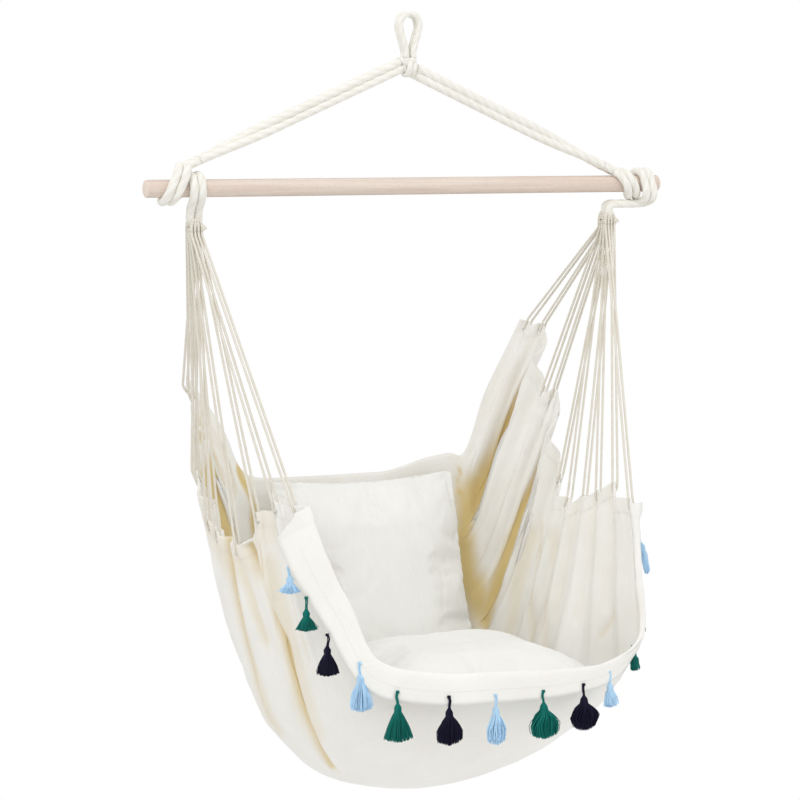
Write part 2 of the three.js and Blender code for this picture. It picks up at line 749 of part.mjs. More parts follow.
// Seat cords: each a hairpin from the head, through its eyelet round the hem, and back up
function makeCords(normals) {
  const radius = cordDiameter / 2;
  const offset = clothThickness / 2 + turnClearance + radius;
  const rows = clothGrid[0].length;
  const headFoot = -headPivotDrop - headSkirtDrop - clearance;
  for (const [name, side] of [['left', -1], ['right', 1]]) {
    tabStationShares.forEach((_, tab) => {
      const i = columns.findIndex((column) => column.tab === tab);
      const hemRow = side < 0 ? 0 : rows - 1;
      const lipRow = side < 0 ? 1 : rows - 2;
      const edge = clothGrid[i][hemRow].clone().lerp(clothGrid[i + 1][hemRow], 0.5);
      const lip = clothGrid[i][lipRow].clone().lerp(clothGrid[i + 1][lipRow], 0.5);
      const rise = edge.clone().sub(lip).normalize();
      const out = normals[i][lipRow].clone().add(normals[i + 1][lipRow]).normalize();
      if (out.x * side < 0) {
        out.negate();
      }
      const across = rise.clone().cross(out).normalize();
      const rank = Math.floor(tab / 2) - 2;
      const twin = tab % 2 === 0 ? tab + 1 : tab - 1;
      const { tabs } = clothSides[name];
      const inner = Math.abs(tabs[tab].x) < Math.abs(tabs[twin].x)
        || (tabs[tab].x === tabs[twin].x && tab < twin);
      const row = inner ? 0 : 1;
      const topY = -rank * cordSpacing;
      const inX = (row === 0 ? -1.5 : 0.5) * cordSpacing * side;
      const topAt = (x, drop) => vec(side * headX + x, topY, headFoot - drop);
      const beyond = hemDepth + radius * 2;
      const leg = (sign, up2) => lip.clone().addScaledVector(out, sign * offset).addScaledVector(rise, up2);
      const points = [topAt(inX, 0), topAt(inX, cordLead), leg(-1, beyond), leg(-1, 0)];
      for (let k = 1; k < bendSteps; k += 1) {
        const angle = k / bendSteps * Math.PI;
        points.push(lip.clone()
          .addScaledVector(out, -offset * Math.cos(angle))
          .addScaledVector(rise, -offset * Math.sin(angle)));
      }
      const outX = inX + cordSpacing * side;
      points.push(leg(1, 0), leg(1, beyond), topAt(outX, cordLead), topAt(outX, 0));
      const thinSides = points.map(() => across);
      const geometry = sweep(points, thinSides, radius, radius, cordSides);
      addMesh(`${name}_cord_${String(tab + 1).padStart(2, '0')}`, geometry, cottonRope);
    });
  }
}

// A pillow as two faces over one outline whose sides are drawn in between the corners
function pillow(cells, outline, upper, lower) {
  const positions = [];
  const index = new Map();
  const at = (face, i, j) => {
    const rim = i === 0 || j === 0 || i === cells || j === cells;
    const key = `${rim ? 'rim' : face}:${i}:${j}`;
    if (!index.has(key)) {
      const u = -Math.cos(i / cells * Math.PI);
      const w = -Math.cos(j / cells * Math.PI);
      const place = outline(u, w);
      const make = face === 'upper' ? upper : lower;
      positions.push((rim ? place : make(place, u, w)).toArray());
      index.set(key, positions.length - 1);
    }
    return index.get(key);
  };
  const triangles = [];
  for (const face of ['upper', 'lower']) {
    for (let i = 0; i < cells; i += 1) {
      for (let j = 0; j < cells; j += 1) {
        const a = at(face, i, j);
        const b = at(face, i + 1, j);
        const c = at(face, i + 1, j + 1);
        const d = at(face, i, j + 1);
        if (face === 'upper') {
          triangles.push([a, b, c], [a, c, d]);
        } else {
          triangles.push([a, c, b], [a, d, c]);
        }
      }
    }
  }
  return geometryFrom(positions, triangles);
}

function swell(u, w) {
  return Math.sqrt(Math.max(0, (1 - u ** 4) * (1 - w ** 4)));
}

// The height of the cloth around a place, felt from above so that a cushion clears it
function clothHeight(cloth, place, top, ways) {
  const ray = new THREE.Raycaster();
  const heights = ways.map(([east, north]) => {
    const above = vec(place.x + east * cushionFeel, place.y + north * cushionFeel, top);
    ray.set(above, vec(0, 0, -1));
    return ray.intersectObject(cloth)[0]?.point.z ?? -seatDrop;
  });
  return Math.max(...heights) + restClearance;
}

// The least distance from the points of a piece above a level to the cloth, one way
function leastRoom(geometry, cloth, way, level) {
  const places = geometry.getAttribute('position');
  const ray = new THREE.Raycaster();
  let room = Infinity;
  for (let i = 0; i < places.count; i += 1) {
    ray.set(vec(places.getX(i), places.getY(i), places.getZ(i)), way);
    const hit = places.getZ(i) > level && ray.intersectObject(cloth)[0];
    room = Math.min(room, hit ? hit.distance : Infinity);
  }
  return room;
}

const allWays = [[0, 0], [1, 0], [-1, 0], [0, 1], [0, -1]];
const forwardWays = [[0, 0], [1, 0], [-1, 0], [0, -1]];

// Seat cushion: it lies in the pouch, so its underside follows the cloth
function makeSeatCushion(cloth) {
  const above = seatCushionThickness - seatCushionTop;
  const outline = (u, w) => {
    const rounding = 1 - seatCornerShare * u * u * w * w;
    const x = seatCushionShift + u * rounding * (seatCushionWidth / 2 - cushionDrawIn * (1 - w * w));
    const y = seatCushionY + w * rounding * (seatCushionDepth / 2 - cushionDrawIn * (1 - u * u));
    const place = vec(x, y, -seatCushionTop - seatCushionCrown);
    return place.setZ(Math.max(place.z, clothHeight(cloth, place, above, allWays)));
  };
  const upper = (place, u, w) => {
    const crown = -seatCushionTop + seatCushionCrown * (swell(u, w) - 1);
    return place.clone().setZ(Math.max(crown, place.z + swell(u, w) * restClearance));
  };
  const lower = (place, u, w) => {
    const low = place.z - swell(u, w) * (seatCushionThickness - seatCushionCrown);
    const rest = clothHeight(cloth, place, above, allWays);
    return place.clone().setZ(Math.min(place.z, Math.max(low, rest)));
  };
  const geometry = pillow(cushionCells, outline, upper, lower);
  const rest = leastRoom(geometry, cloth, vec(0, 0, -1), -seatDrop);
  geometry.translate(0, 0, restClearance - rest);
  addMesh('seat_cushion', geometry, cushionCloth);
}

// Back cushion: it stands in the pouch behind the seat cushion and leans on the back of the cloth
function makeBackCushion(cloth) {
  const lean = THREE.MathUtils.degToRad(backCushionLean);
  const rise = vec(0, Math.sin(lean), Math.cos(lean));
  const behind = vec(0, Math.cos(lean), -Math.sin(lean));
  const half = backCushionThickness / 2;
  const middle = vec(0, 0, -backCushionTop).addScaledVector(rise, -backCushionHeight / 2);
  const outline = (u, w) => middle.clone()
    .setX(u * (backCushionWidth / 2 - cushionDrawIn * (1 - w * w)))
    .addScaledVector(rise, w * (backCushionHeight / 2 - cushionDrawIn * (1 - u * u)));
  const lower = (place, u, w) => place.clone().addScaledVector(behind, swell(u, w) * half);
  const upper = (place, u, w) => place.clone().addScaledVector(behind, -swell(u, w) * half);
  const geometry = pillow(cushionCells, outline, upper, lower);
  const room = leastRoom(geometry, cloth, vec(0, 1, 0), middle.z);
  geometry.translate(0, room - restClearance, 0);
  const places = geometry.getAttribute('position');
  const place = vec(0, 0, 0);
  for (let i = 0; i < places.count; i += 1) {
    place.fromBufferAttribute(places, i);
    if (place.z < middle.z) {
      places.setZ(i, Math.max(place.z, clothHeight(cloth, place, -backCushionTop, forwardWays)));
    }
  }
  geometry.computeVertexNormals();
  addMesh('back_cushion', geometry, cushionCloth);
}

// A tassel: knot, thread, tied head and a flattened bell of yarn
function tasselGeometry(widthShare) {
  const below = tasselThreadDrop + tasselKnotRadius;
  const skirt = tasselLength - tasselKnotRadius - tasselThreadDrop;
  const profile = [
    new THREE.Vector2(0, tasselKnotRadius),
    new THREE.Vector2(tasselKnotRadius, 0),
    new THREE.Vector2(tasselThreadRadius, -tasselKnotRadius),
    new THREE.Vector2(tasselThreadRadius, -tasselThreadDrop),
    new THREE.Vector2(tasselHeadRadius, -below - tasselHeadRadius * tasselHeadShare),
    new THREE.Vector2(tasselNeckRadius, -below - tasselHeadRadius * tasselNeckShare),
    ...tasselBellShares.map(([out, rise]) => (
      new THREE.Vector2(tasselSkirtRadius * widthShare * out, -tasselLength + skirt * rise)
    )),
    new THREE.Vector2(0, -tasselLength),
  ];
  profile.reverse();
  const geometry = new THREE.LatheGeometry(profile, tasselSides);
  geometry.rotateX(Math.PI / 2);
  const flat = new THREE.Vector3();
  const place = geometry.getAttribute('position');
  for (let i = 0; i < place.count; i += 1) {
    flat.fromBufferAttribute(place, i);
    const share = smooth((-flat.z - tasselThreadDrop) / (tasselLength / 2));
    place.setY(i, flat.y * THREE.MathUtils.lerp(1, tasselFlatShare, share));
  }
  return geometry;
}

// Where a tassel hangs: on the face of the turned-over hem, or past its edge where that is steep
function flapPlace(cloth, share) {
  const [crest, edge] = clothGrid.slice(-2);
  const line = new THREE.CurvePath();
  for (let row = 0; row + 1 < edge.length; row += 1) {
    line.add(new THREE.LineCurve3(edge[row], edge[row + 1]));
  }
  const target = share * line.getLength();
  const lengths = line.getCurveLengths();
  const row = lengths.findIndex((length) => length >= target);
  const before = row === 0 ? 0 : lengths[row - 1];
  const part = (target - before) / (lengths[row] - before);
  const low = edge[row].clone().lerp(edge[row + 1], part);
  const high = crest[row].clone().lerp(crest[row + 1], part);
  const along = edge[row + 1].clone().sub(edge[row]).normalize();
  const back = high.clone().sub(low);
  back.addScaledVector(along, -back.dot(along)).normalize();
  const face = along.clone().cross(back).normalize();
  if (face.dot(vec(low.x / seatHalfWidth, -1, 0)) < 0) {
    face.negate();
  }
  if (Math.abs(along.z) > steepShare) {
    return { place: low.addScaledVector(back, -tasselKnotRadius - clearance), face };
  }
  const spot = low.addScaledVector(back, tasselSeat);
  const ray = new THREE.Raycaster(spot.addScaledVector(face, flapWidth), face.clone().negate());
  const hit = ray.intersectObject(cloth)[0];
  const normal = hit.face.normal;
  return { place: hit.point.addScaledVector(normal, tasselKnotRadius + clearance), face: normal };
}

// Triangles of the cloth within a box
function trianglesNear(cloth, box) {
  const places = cloth.geometry.getAttribute('position');
  const index = cloth.geometry.index.array;
  const near = [];
  for (let i = 0; i < index.length; i += 3) {
    const corners = [0, 1, 2].map((k) => vec(0, 0, 0).fromBufferAttribute(places, index[i + k]));
    const triangle = new THREE.Triangle(...corners);
    if (box.intersectsTriangle(triangle)) {
      near.push(triangle);
    }
  }
  return near;
}

// Whether a tassel keeps clear of the cloth, felt at its points and half way between its rings
function keepsClear(tassel, near) {
  const places = tassel.geometry.getAttribute('position');
  const rings = places.count / (tasselSides + 1);
  const place = vec(0, 0, 0);
  const next = vec(0, 0, 0);
  const nearest = vec(0, 0, 0);
  for (let i = 0; i < places.count; i += 1) {
    place.fromBufferAttribute(places, i).applyMatrix4(tassel.matrixWorld);
    next.fromBufferAttribute(places, i % rings === rings - 1 ? i : i + 1).applyMatrix4(tassel.matrixWorld);
    for (const point of [place, next.lerp(place, 0.5)]) {
      for (const triangle of near) {
        if (triangle.closestPointToPoint(point, nearest).distanceTo(point) < clearance) {
          return false;
        }
      }
    }
  }
  return true;
}

function makeTassels(cloth) {
  const looks = [paleBlueYarn, greenYarn, navyYarn];
  tasselStationShares.forEach((share, i) => {
    const { place, face } = flapPlace(cloth, share);
    const outward = face.clone().setZ(0).normalize();
    const name = `tassel_${String(i + 1).padStart(2, '0')}`;
    const tassel = addMesh(name, tasselGeometry(tasselWidthShares[i]), looks[i % 3]);
    tassel.position.copy(place);
    const reach = vec(tasselLength, tasselLength, tasselLength);
    const near = trianglesNear(cloth, new THREE.Box3(place.clone().sub(reach), place.clone().add(reach)));
    let lean = tasselLeastLean;
    do {
      tassel.rotation.set(-THREE.MathUtils.degToRad(lean), 0, Math.atan2(outward.x, -outward.y), 'ZYX');
      tassel.updateMatrixWorld(true);
      lean += 1;
    } while (lean < tasselMostLean && !keepsClear(tassel, near));
    console.log(`${tassel.name}: leans ${lean - 1} degrees`);
  });
}

makeBar();
makeEye();
makeKnot();
const wraps = makeWraps();
makeLegs(wraps);
makeHeads();
const { mesh: cloth, normals } = makeCloth();
makeCords(normals);
makeSeatCushion(cloth);
makeBackCushion(cloth);
makeTassels(cloth);

export default chair;
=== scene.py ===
"""The looks of a hammock chair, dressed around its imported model.

Cotton rope and cords, a gathered canvas pouch, two loose cushions, thirteen yarn tassels and a beech bar.
Lengths are metres, written as millimetres times MM. +Z is up, +X runs along the bar to the sitter's left
and the sitter faces -Y. The origin is where the solids' hanging eye bears on its hook; the drawn eye is taller.
"""
import json
import logging
import math
from dataclasses import dataclass
from enum import Enum

import bpy
import numpy as np
from mathutils import Matrix, Vector, noise
from mathutils.bvhtree import BVHTree


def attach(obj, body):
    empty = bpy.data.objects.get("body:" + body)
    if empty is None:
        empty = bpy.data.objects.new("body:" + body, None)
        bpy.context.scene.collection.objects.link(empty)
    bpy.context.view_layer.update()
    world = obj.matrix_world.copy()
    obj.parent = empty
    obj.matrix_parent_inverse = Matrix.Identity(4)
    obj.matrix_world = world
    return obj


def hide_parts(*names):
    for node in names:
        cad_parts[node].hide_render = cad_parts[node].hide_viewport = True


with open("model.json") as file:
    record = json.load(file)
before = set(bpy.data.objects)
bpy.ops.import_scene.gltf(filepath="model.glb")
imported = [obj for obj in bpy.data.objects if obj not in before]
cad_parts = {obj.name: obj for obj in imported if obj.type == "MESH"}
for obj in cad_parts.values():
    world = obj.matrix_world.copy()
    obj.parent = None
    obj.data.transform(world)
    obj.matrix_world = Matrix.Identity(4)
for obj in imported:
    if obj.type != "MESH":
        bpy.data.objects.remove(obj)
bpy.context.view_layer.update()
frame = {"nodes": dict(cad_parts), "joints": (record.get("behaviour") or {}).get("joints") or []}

MM = 0.001
TURN = 2 * math.pi
log = logging.getLogger("hammock chair")

# Places of the ten hem tabs a side, as shares of the half width, back reach and seat drop
RIGHT_TAB_SHARES = (
    (0.957, 0.833, 0.397), (1.006, 0.724, 0.400), (0.966, 0.561, 0.484), (1.000, 0.474, 0.487),
    (1.006, 0.395, 0.603), (1.000, 0.263, 0.632), (0.994, -0.022, 0.622), (0.986, -0.272, 0.610),
    (0.971, -0.561, 0.594), (0.921, -0.943, 0.607),
)
LEFT_TAB_SHARES = (
    (0.966, 0.855, 0.464), (0.980, 0.702, 0.475), (0.980, 0.640, 0.572), (0.994, 0.526, 0.580),
    (1.006, 0.263, 0.629), (1.006, 0.066, 0.638), (1.000, -0.307, 0.646), (0.986, -0.702, 0.596),
    (0.949, -0.899, 0.580), (0.880, -1.031, 0.582),
)
# Where along the cloth, from back edge to front ridge, each tab stands
TAB_STATION_SHARES = (0.02, 0.08, 0.19, 0.25, 0.39, 0.48, 0.60, 0.72, 0.84, 0.965)
# The lowest line of the pouch from back edge to front ridge, as shares of reach and drop
KEEL_SHARES = (
    (1.00, 0.600), (0.99, 0.714), (0.90, 0.833), (0.66, 0.934), (0.31, 0.989),
    (-0.09, 0.9925), (-0.40, 0.966), (-0.70, 0.895), (-1.00, 0.792),
)
# Cross-sections from keel to hem, as shares of the way out and the way up
BACK_SECTION_SHARES = ((0, 0), (0.34, 0.0), (0.64, 0.05), (0.80, 0.52), (1, 1))
MIDDLE_SECTION_SHARES = ((0, 0), (0.45, 0.076), (0.72, 0.293), (0.88, 0.617), (1, 1))
RIGHT_FRONT_SHARES = ((0, 0), (0.40, -0.03), (0.74, -0.03), (0.98, 0.08), (1, 0.55), (1, 1))
LEFT_FRONT_SHARES = ((0, 0), (0.40, 0.03), (0.71, 0.13), (0.83, 0.45), (0.94, 0.76), (1, 1))
# Which way the turned-over front hem leans, from left corner over the middle to right corner
FLAP_LEAN_SHARES = (
    (-1.50, -0.02, -0.62), (-1.28, 0.08, -0.58), (-1.05, 0.16, -0.57), (-0.40, -0.02, -0.95),
    (0, -0.06, -0.95), (0.05, 0.05, -0.75), (0.30, 1.02, -0.25), (0.50, 0.90, -0.10), (0.50, 0.88, 0),
)
# How far that hem stands off the cloth along the same way, as shares of its stand
FLAP_STAND_SHARES = (1.2, 1.1, 1, 1, 1, 1, 1.8, 2.2, 2.3)


class Side(Enum):
    """The two ends of the bar, as seen from the front, with the sign of their X."""

    LEFT = -1
    RIGHT = 1

    @property
    def word(self) -> str:
        """The side's name as the pieces write it."""
        return self.name.lower()


class Yarn(Enum):
    """The three colours of yarn, with their sRGB hex value and material slot."""

    PALE_BLUE = ("BFE3FD", "pale_blue_yarn")
    GREEN = ("14756B", "green_yarn")
    NAVY = ("1B1930", "navy_yarn")


def linear(hex_colour: str) -> tuple[float, float, float, float]:
    """Turns an sRGB hex colour to linear red, green, blue and alpha.

    Args:
        hex_colour: six hex digits.

    Returns:
        The colour as a shader socket takes it.
    """
    parts = [int(hex_colour[i:i + 2], 16) / 255 for i in (0, 2, 4)]
    return tuple(c / 12.92 if c <= 0.04045 else ((c + 0.055) / 1.055) ** 2.4 for c in parts) + (1.0,)


def add_node(tree: bpy.types.NodeTree, kind: str, inputs: dict | None = None, **settings: object
             ) -> bpy.types.Node:
    """Adds one shader node.

    Args:
        tree: the node tree of a material or world.
        kind: the node's type name, without the ShaderNode before it.
        inputs: values or output sockets, by the name or number of the input.
        settings: values of the node's own properties.

    Returns:
        The new node.
    """
    made = tree.nodes.new(f"ShaderNode{kind}")
    for key, value in settings.items():
        setattr(made, key, value)
    for key, value in (inputs or {}).items():
        if isinstance(value, bpy.types.NodeSocket):
            tree.links.new(value, made.inputs[key])
        else:
            made.inputs[key].default_value = value
    return made


def smooth(value: np.ndarray | float) -> np.ndarray | float:
    """The smooth step from 0 to 1 over the same range of its value."""
    t = np.clip(value, 0, 1)
    return t * t * (3 - 2 * t)


def unit(vectors: np.ndarray) -> np.ndarray:
    """The same vectors at length one."""
    return vectors / np.maximum(np.linalg.norm(vectors, axis=-1, keepdims=True), 1e-12)


def run_along(points: np.ndarray) -> np.ndarray:
    """How far along a line each of its points lies."""
    return np.concatenate([[0], np.cumsum(np.linalg.norm(np.diff(points, axis=0), axis=1))])


def places_at(want: np.ndarray | float, run: np.ndarray, points: np.ndarray) -> np.ndarray:
    """The places at wanted distances along a line whose points lie at the given runs."""
    return np.stack([np.interp(want, run, points[:, k]) for k in range(3)], axis=-1)


def blur_weights(where: np.ndarray, reach: float) -> np.ndarray:
    """A row of weights for each place that takes the soft mean of its neighbours, the nearest counting most."""
    gap = where[:, None] - where[None, :]
    weights = np.exp(-(gap / reach) ** 2) * np.gradient(where)[None, :]
    return weights / weights.sum(axis=1, keepdims=True)


class Spline:
    """A centripetal Catmull-Rom curve, its parameter going by even steps from point to point."""

    def __init__(self, points: object) -> None:
        """Keeps the points that the curve goes through."""
        self.points = np.asarray(points, float)

    def at(self, share: float) -> np.ndarray:
        """The place at a share of the way, from 0 to 1.

        Args:
            share: the curve's parameter.

        Returns:
            The point.
        """
        points = self.points
        last = len(points) - 1
        i = min(int(share * last), last - 1)
        weight = share * last - i
        a, b = points[i], points[i + 1]
        before = points[i - 1] if i else 2 * a - b
        after = points[i + 2] if i + 2 <= last else 2 * b - a
        gap = [max(np.linalg.norm(q - p), 1e-9) ** 0.5 for p, q in ((before, a), (a, b), (b, after))]
        leave = ((a - before) / gap[0] - (b - before) / (gap[0] + gap[1]) + (b - a) / gap[1]) * gap[1]
        reach = ((b - a) / gap[1] - (after - a) / (gap[1] + gap[2]) + (after - b) / gap[2]) * gap[1]
        cubic = (a, leave, 3 * (b - a) - 2 * leave - reach, 2 * (a - b) + leave + reach)
        return sum(term * weight ** power for power, term in enumerate(cubic))

    def tangent(self, share: float) -> np.ndarray:
        """The direction of the curve at a share of the way."""
        step = 1e-4
        return unit(self.at(min(1.0, share + step)) - self.at(max(0.0, share - step)))

    def even(self, spacing: float) -> np.ndarray:
        """Points along the curve at even distances.

        Args:
            spacing: about how far apart they lie.

        Returns:
            The points, the first and the last of the curve among them.
        """
        fine = np.array([self.at(t) for t in np.linspace(0, 1, 12 * len(self.points))])
        run = run_along(fine)
        count = max(3, int(round(run[-1] / spacing)) + 1)
        return places_at(np.linspace(0, run[-1], count), run, fine)


def make_mesh(name: str, places: np.ndarray, faces: np.ndarray | list) -> bpy.types.Object:
    """Makes a smooth-shaded mesh object, linked to the scene, from vertices and lists of vertex numbers."""
    mesh = bpy.data.meshes.new(name)
    mesh.from_pydata(places.tolist(), [], faces.tolist() if isinstance(faces, np.ndarray) else faces)
    mesh.update()
    mesh.polygons.foreach_set("use_smooth", [True] * len(mesh.polygons))
    made = bpy.data.objects.new(name, mesh)
    bpy.context.scene.collection.objects.link(made)
    return made


def give_attribute(piece: bpy.types.Object, name: str, values: np.ndarray) -> None:
    """Writes one number to each vertex of a piece, for its material to read."""
    layer = piece.data.attributes.new(name, "FLOAT", "POINT")
    layer.data.foreach_set("value", np.asarray(values, np.float32))


def give_uv(piece: bpy.types.Object, corners: np.ndarray) -> None:
    """Writes a UV map of real lengths, one pair of numbers to each corner of each face."""
    layer = piece.data.uv_layers.new(name="lie")
    layer.data.foreach_set("uv", np.asarray(corners, np.float32).ravel())


def ruck(*place: float) -> float:
    """Smooth noise at a place, from -1 to 1."""
    return noise.noise(Vector(place))


def surface_of(piece: bpy.types.Object) -> BVHTree:
    """The surface of a piece, on which the nearest place can be looked up."""
    return BVHTree.FromPolygons([v.co for v in piece.data.vertices], [p.vertices for p in piece.data.polygons])


def select_only(piece: bpy.types.Object) -> None:
    """Makes one piece the only selected and the active one."""
    bpy.ops.object.select_all(action="DESELECT")
    piece.select_set(True)
    bpy.context.view_layer.objects.active = piece


def apply_modifiers(piece: bpy.types.Object) -> None:
    """Applies all modifiers of a piece, first to last."""
    select_only(piece)
    for modifier in list(piece.modifiers):
        bpy.ops.object.modifier_apply(modifier=modifier.name)


def join(name: str, pieces: list[bpy.types.Object]) -> bpy.types.Object:
    """Joins pieces that are one part of the chair into one object."""
    bpy.ops.object.select_all(action="DESELECT")
    for piece in pieces:
        piece.select_set(True)
    bpy.context.view_layer.objects.active = pieces[0]
    bpy.ops.object.join()
    pieces[0].name = name
    pieces[0].data.name = name
    return pieces[0]


def settle(piece: bpy.types.Object, body: str, finish: bpy.types.Material,
           nodes: tuple[str, ...] = ()) -> bpy.types.Object:
    """Gives a finished piece its material, body, slot and the solids that it stands for.

    Args:
        piece: the finished piece.
        body: the body that it rides on.
        finish: its material.
        nodes: the solids that it replaces.

    Returns:
        The piece.
    """
    piece.data.materials.clear()
    piece.data.materials.append(finish)
    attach(piece, body)
    if nodes:
        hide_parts(*nodes)
    log.info("%s: %d faces on %s", piece.name, len(piece.data.polygons), body)
    return piece


@dataclass(frozen=True)
class Laid:
    """A laid rope or cord: its radius, the length of one turn of its lay and its number of strands."""

    radius: float
    lay: float
    strands: int = 3
    groove_share: float = 0.16
    sides: int = 18
    steps_per_turn: int = 9

    def tube(self, name: str, route: np.ndarray, phase: float = 0.0, rounded: bool = True) -> bpy.types.Object:
        """Lays the rope along a route.

        Args:
            name: the piece's name.
            route: points along its middle, evenly apart.
            phase: the turn at which its strands start.
            rounded: whether its ends are rounded off, not cut straight.

        Returns:
            The rope, with the depth of its grooves as an attribute and its lie as a UV map.
        """
        count = len(route)
        run = run_along(route)
        tangents = unit(np.gradient(route, axis=0))
        # Any direction that no route starts in will do
        across = [unit(np.cross(tangents[0], (0.31, 0.17, 0.94)))]
        for i in range(1, count):
            across.append(unit(across[-1] - tangents[i] * np.dot(across[-1], tangents[i])))
        across = np.array(across)
        other = np.cross(tangents, across)
        angles = np.arange(self.sides) * TURN / self.sides
        turned = angles[None, :] - TURN * run[:, None] / self.lay - phase
        lobe = np.abs(np.cos(turned * self.strands / 2))
        near = np.clip(np.minimum(run, run[-1] - run) / self.radius, 0, 1)
        ends = np.sqrt(np.clip(1 - (1 - near) ** 2, 0.05, 1)) if rounded else np.ones(count)
        reach = (self.radius * ends)[:, None] * (1 - self.groove_share * (1 - lobe))
        places = (route[:, None, :] + reach[..., None] * (
            np.cos(angles)[None, :, None] * across[:, None, :] + np.sin(angles)[None, :, None] * other[:, None, :]))
        ring = np.arange(self.sides)
        after = (ring + 1) % self.sides
        base = (np.arange(count - 1) * self.sides)[:, None]
        quads = np.stack([base + ring, base + after, base + after + self.sides, base + ring + self.sides], axis=-1)
        faces = quads.reshape(-1, 4).tolist()
        faces += [list(range(self.sides))[::-1], list(range((count - 1) * self.sides, count * self.sides))]
        piece = make_mesh(name, places.reshape(-1, 3), faces)
        give_attribute(piece, "groove", (1 - lobe).ravel())
        around = np.stack([ring, ring + 1, ring + 1, ring], axis=-1) / self.sides
        along = np.stack([run[:-1], run[:-1], run[1:], run[1:]], axis=-1)
        corners = np.zeros((count - 1, self.sides, 4, 2))
        corners[..., 0] = around[None]
        corners[..., 1] = along[:, None, :]
        caps = np.zeros((2 * self.sides, 2))
        give_uv(piece, np.concatenate([corners.reshape(-1, 2), caps]))
        return piece

    def along(self, name: str, points: object, phase: float = 0.0, rounded: bool = True) -> bpy.types.Object:
        """Lays the rope along a smooth curve through points."""
        return self.tube(name, Spline(points).even(self.lay / self.steps_per_turn), phase, rounded=rounded)


class Shading:
    """A material being built, with short ways to the shader nodes that the finishes share."""

    def __init__(self, name: str, roughness: float, specular: float, sheen: float = 0.0) -> None:
        """Starts a material with a name, a roughness, a share of mirror light and a share of sheen."""
        self.material = bpy.data.materials.new(name)
        self.material.use_nodes = True
        self.tree = self.material.node_tree
        self.shader = self.tree.nodes["Principled BSDF"]
        self.shader.inputs["Roughness"].default_value = roughness
        self.shader.inputs["Specular IOR Level"].default_value = specular
        self.shader.inputs["Sheen Weight"].default_value = sheen
        self.place = self.node("TexCoord").outputs["Object"]

    def node(self, kind: str, inputs: dict | None = None, **settings: object) -> bpy.types.Node:
        """Adds one node to the material."""
        return add_node(self.tree, kind, inputs, **settings)

    def lie(self) -> bpy.types.NodeSocket:
        """The piece's own UV map, in metres along the cloth or rope."""
        return self.node("UVMap", uv_map="lie").outputs["UV"]

    def attribute(self, name: str) -> bpy.types.NodeSocket:
        """A number that each vertex carries."""
        return self.node("Attribute", attribute_name=name).outputs["Fac"]

    def noise(self, scale: float, detail: float, place: bpy.types.NodeSocket | None = None, **more: float
              ) -> bpy.types.NodeSocket:
        """Noise of a scale and detail, on the piece's own coordinates unless a place is given."""
        inputs = {"Scale": scale, "Detail": detail, "Vector": place or self.place, **more}
        return self.node("TexNoise", inputs).outputs["Fac"]

    def stretched(self, scale: tuple, detail: float, place: bpy.types.NodeSocket | None = None, **more: float
                  ) -> bpy.types.NodeSocket:
        """Noise with a scale of its own along each axis."""
        stretch = self.node("Mapping", {"Scale": scale, "Vector": place or self.place})
        return self.noise(1.0, detail, stretch.outputs[0], **more)

    def math(self, operation: str, *values: object, clamp: bool = False) -> bpy.types.NodeSocket:
        """One operation on sockets and numbers."""
        return self.node("Math", dict(enumerate(values)), operation=operation, use_clamp=clamp).outputs[0]

    def remap(self, value: bpy.types.NodeSocket, ends: dict) -> bpy.types.NodeSocket:
        """The value carried from one range to another, whose ends are named as the node names them."""
        return self.node("MapRange", {0: value, **ends}).outputs[0]

    def mix(self, share: bpy.types.NodeSocket, first: object, second: object) -> bpy.types.NodeSocket:
        """The mix of two colours."""
        return self.node("Mix", {0: share, 6: first, 7: second}, data_type="RGBA").outputs[2]

    def done(self, colour: bpy.types.NodeSocket, height: bpy.types.NodeSocket, strength: float, depth: float
             ) -> bpy.types.Material:
        """Gives the material its colour and its bumps.

        Args:
            colour: its base colour.
            height: the height of its surface, from 0 to 1.
            strength: how strongly the bumps show.
            depth: how deep they are in metres.

        Returns:
            The material.
        """
        bump = self.node("Bump", {"Strength": strength, "Distance": depth, "Height": height})
        self.tree.links.new(colour, self.shader.inputs["Base Color"])
        self.tree.links.new(bump.outputs["Normal"], self.shader.inputs["Normal"])
        return self.material


@dataclass(frozen=True)
class CottonFinish:
    """Soft spun cotton rope: matt, off-white, shaded between its strands, with fine yarns along the lay."""

    name: str = "soft_spun_cotton_rope"
    high: str = "F6F5EF"
    low: str = "E4DDCF"
    lay: float = 70 * MM
    contrast: float = 0.42
    # Yarns of nearly 2 mm round the rope
    yarns: int = 26

    def make(self) -> bpy.types.Material:
        """Builds the rope's material."""
        paint = Shading(self.name, 0.92, 0.2, 0.12)
        slope = (TURN * self.yarns, -TURN * self.yarns / 3 / self.lay, 0)
        fibres = paint.node("VectorMath", {0: paint.lie(), 1: slope}, operation="DOT_PRODUCT")
        yarn = paint.math("SINE", fibres.outputs["Value"])
        shade = paint.math("MULTIPLY_ADD", paint.noise(60.0, 3.0), 0.5, -0.16)
        depth = paint.math("MULTIPLY_ADD", paint.attribute("groove"), self.contrast, shade, clamp=True)
        colour = paint.mix(depth, linear(self.high), linear(self.low))
        height = paint.math("MULTIPLY_ADD", yarn, 0.35, paint.noise(900.0, 2.0))
        return paint.done(colour, height, 0.35, 0.5 * MM)


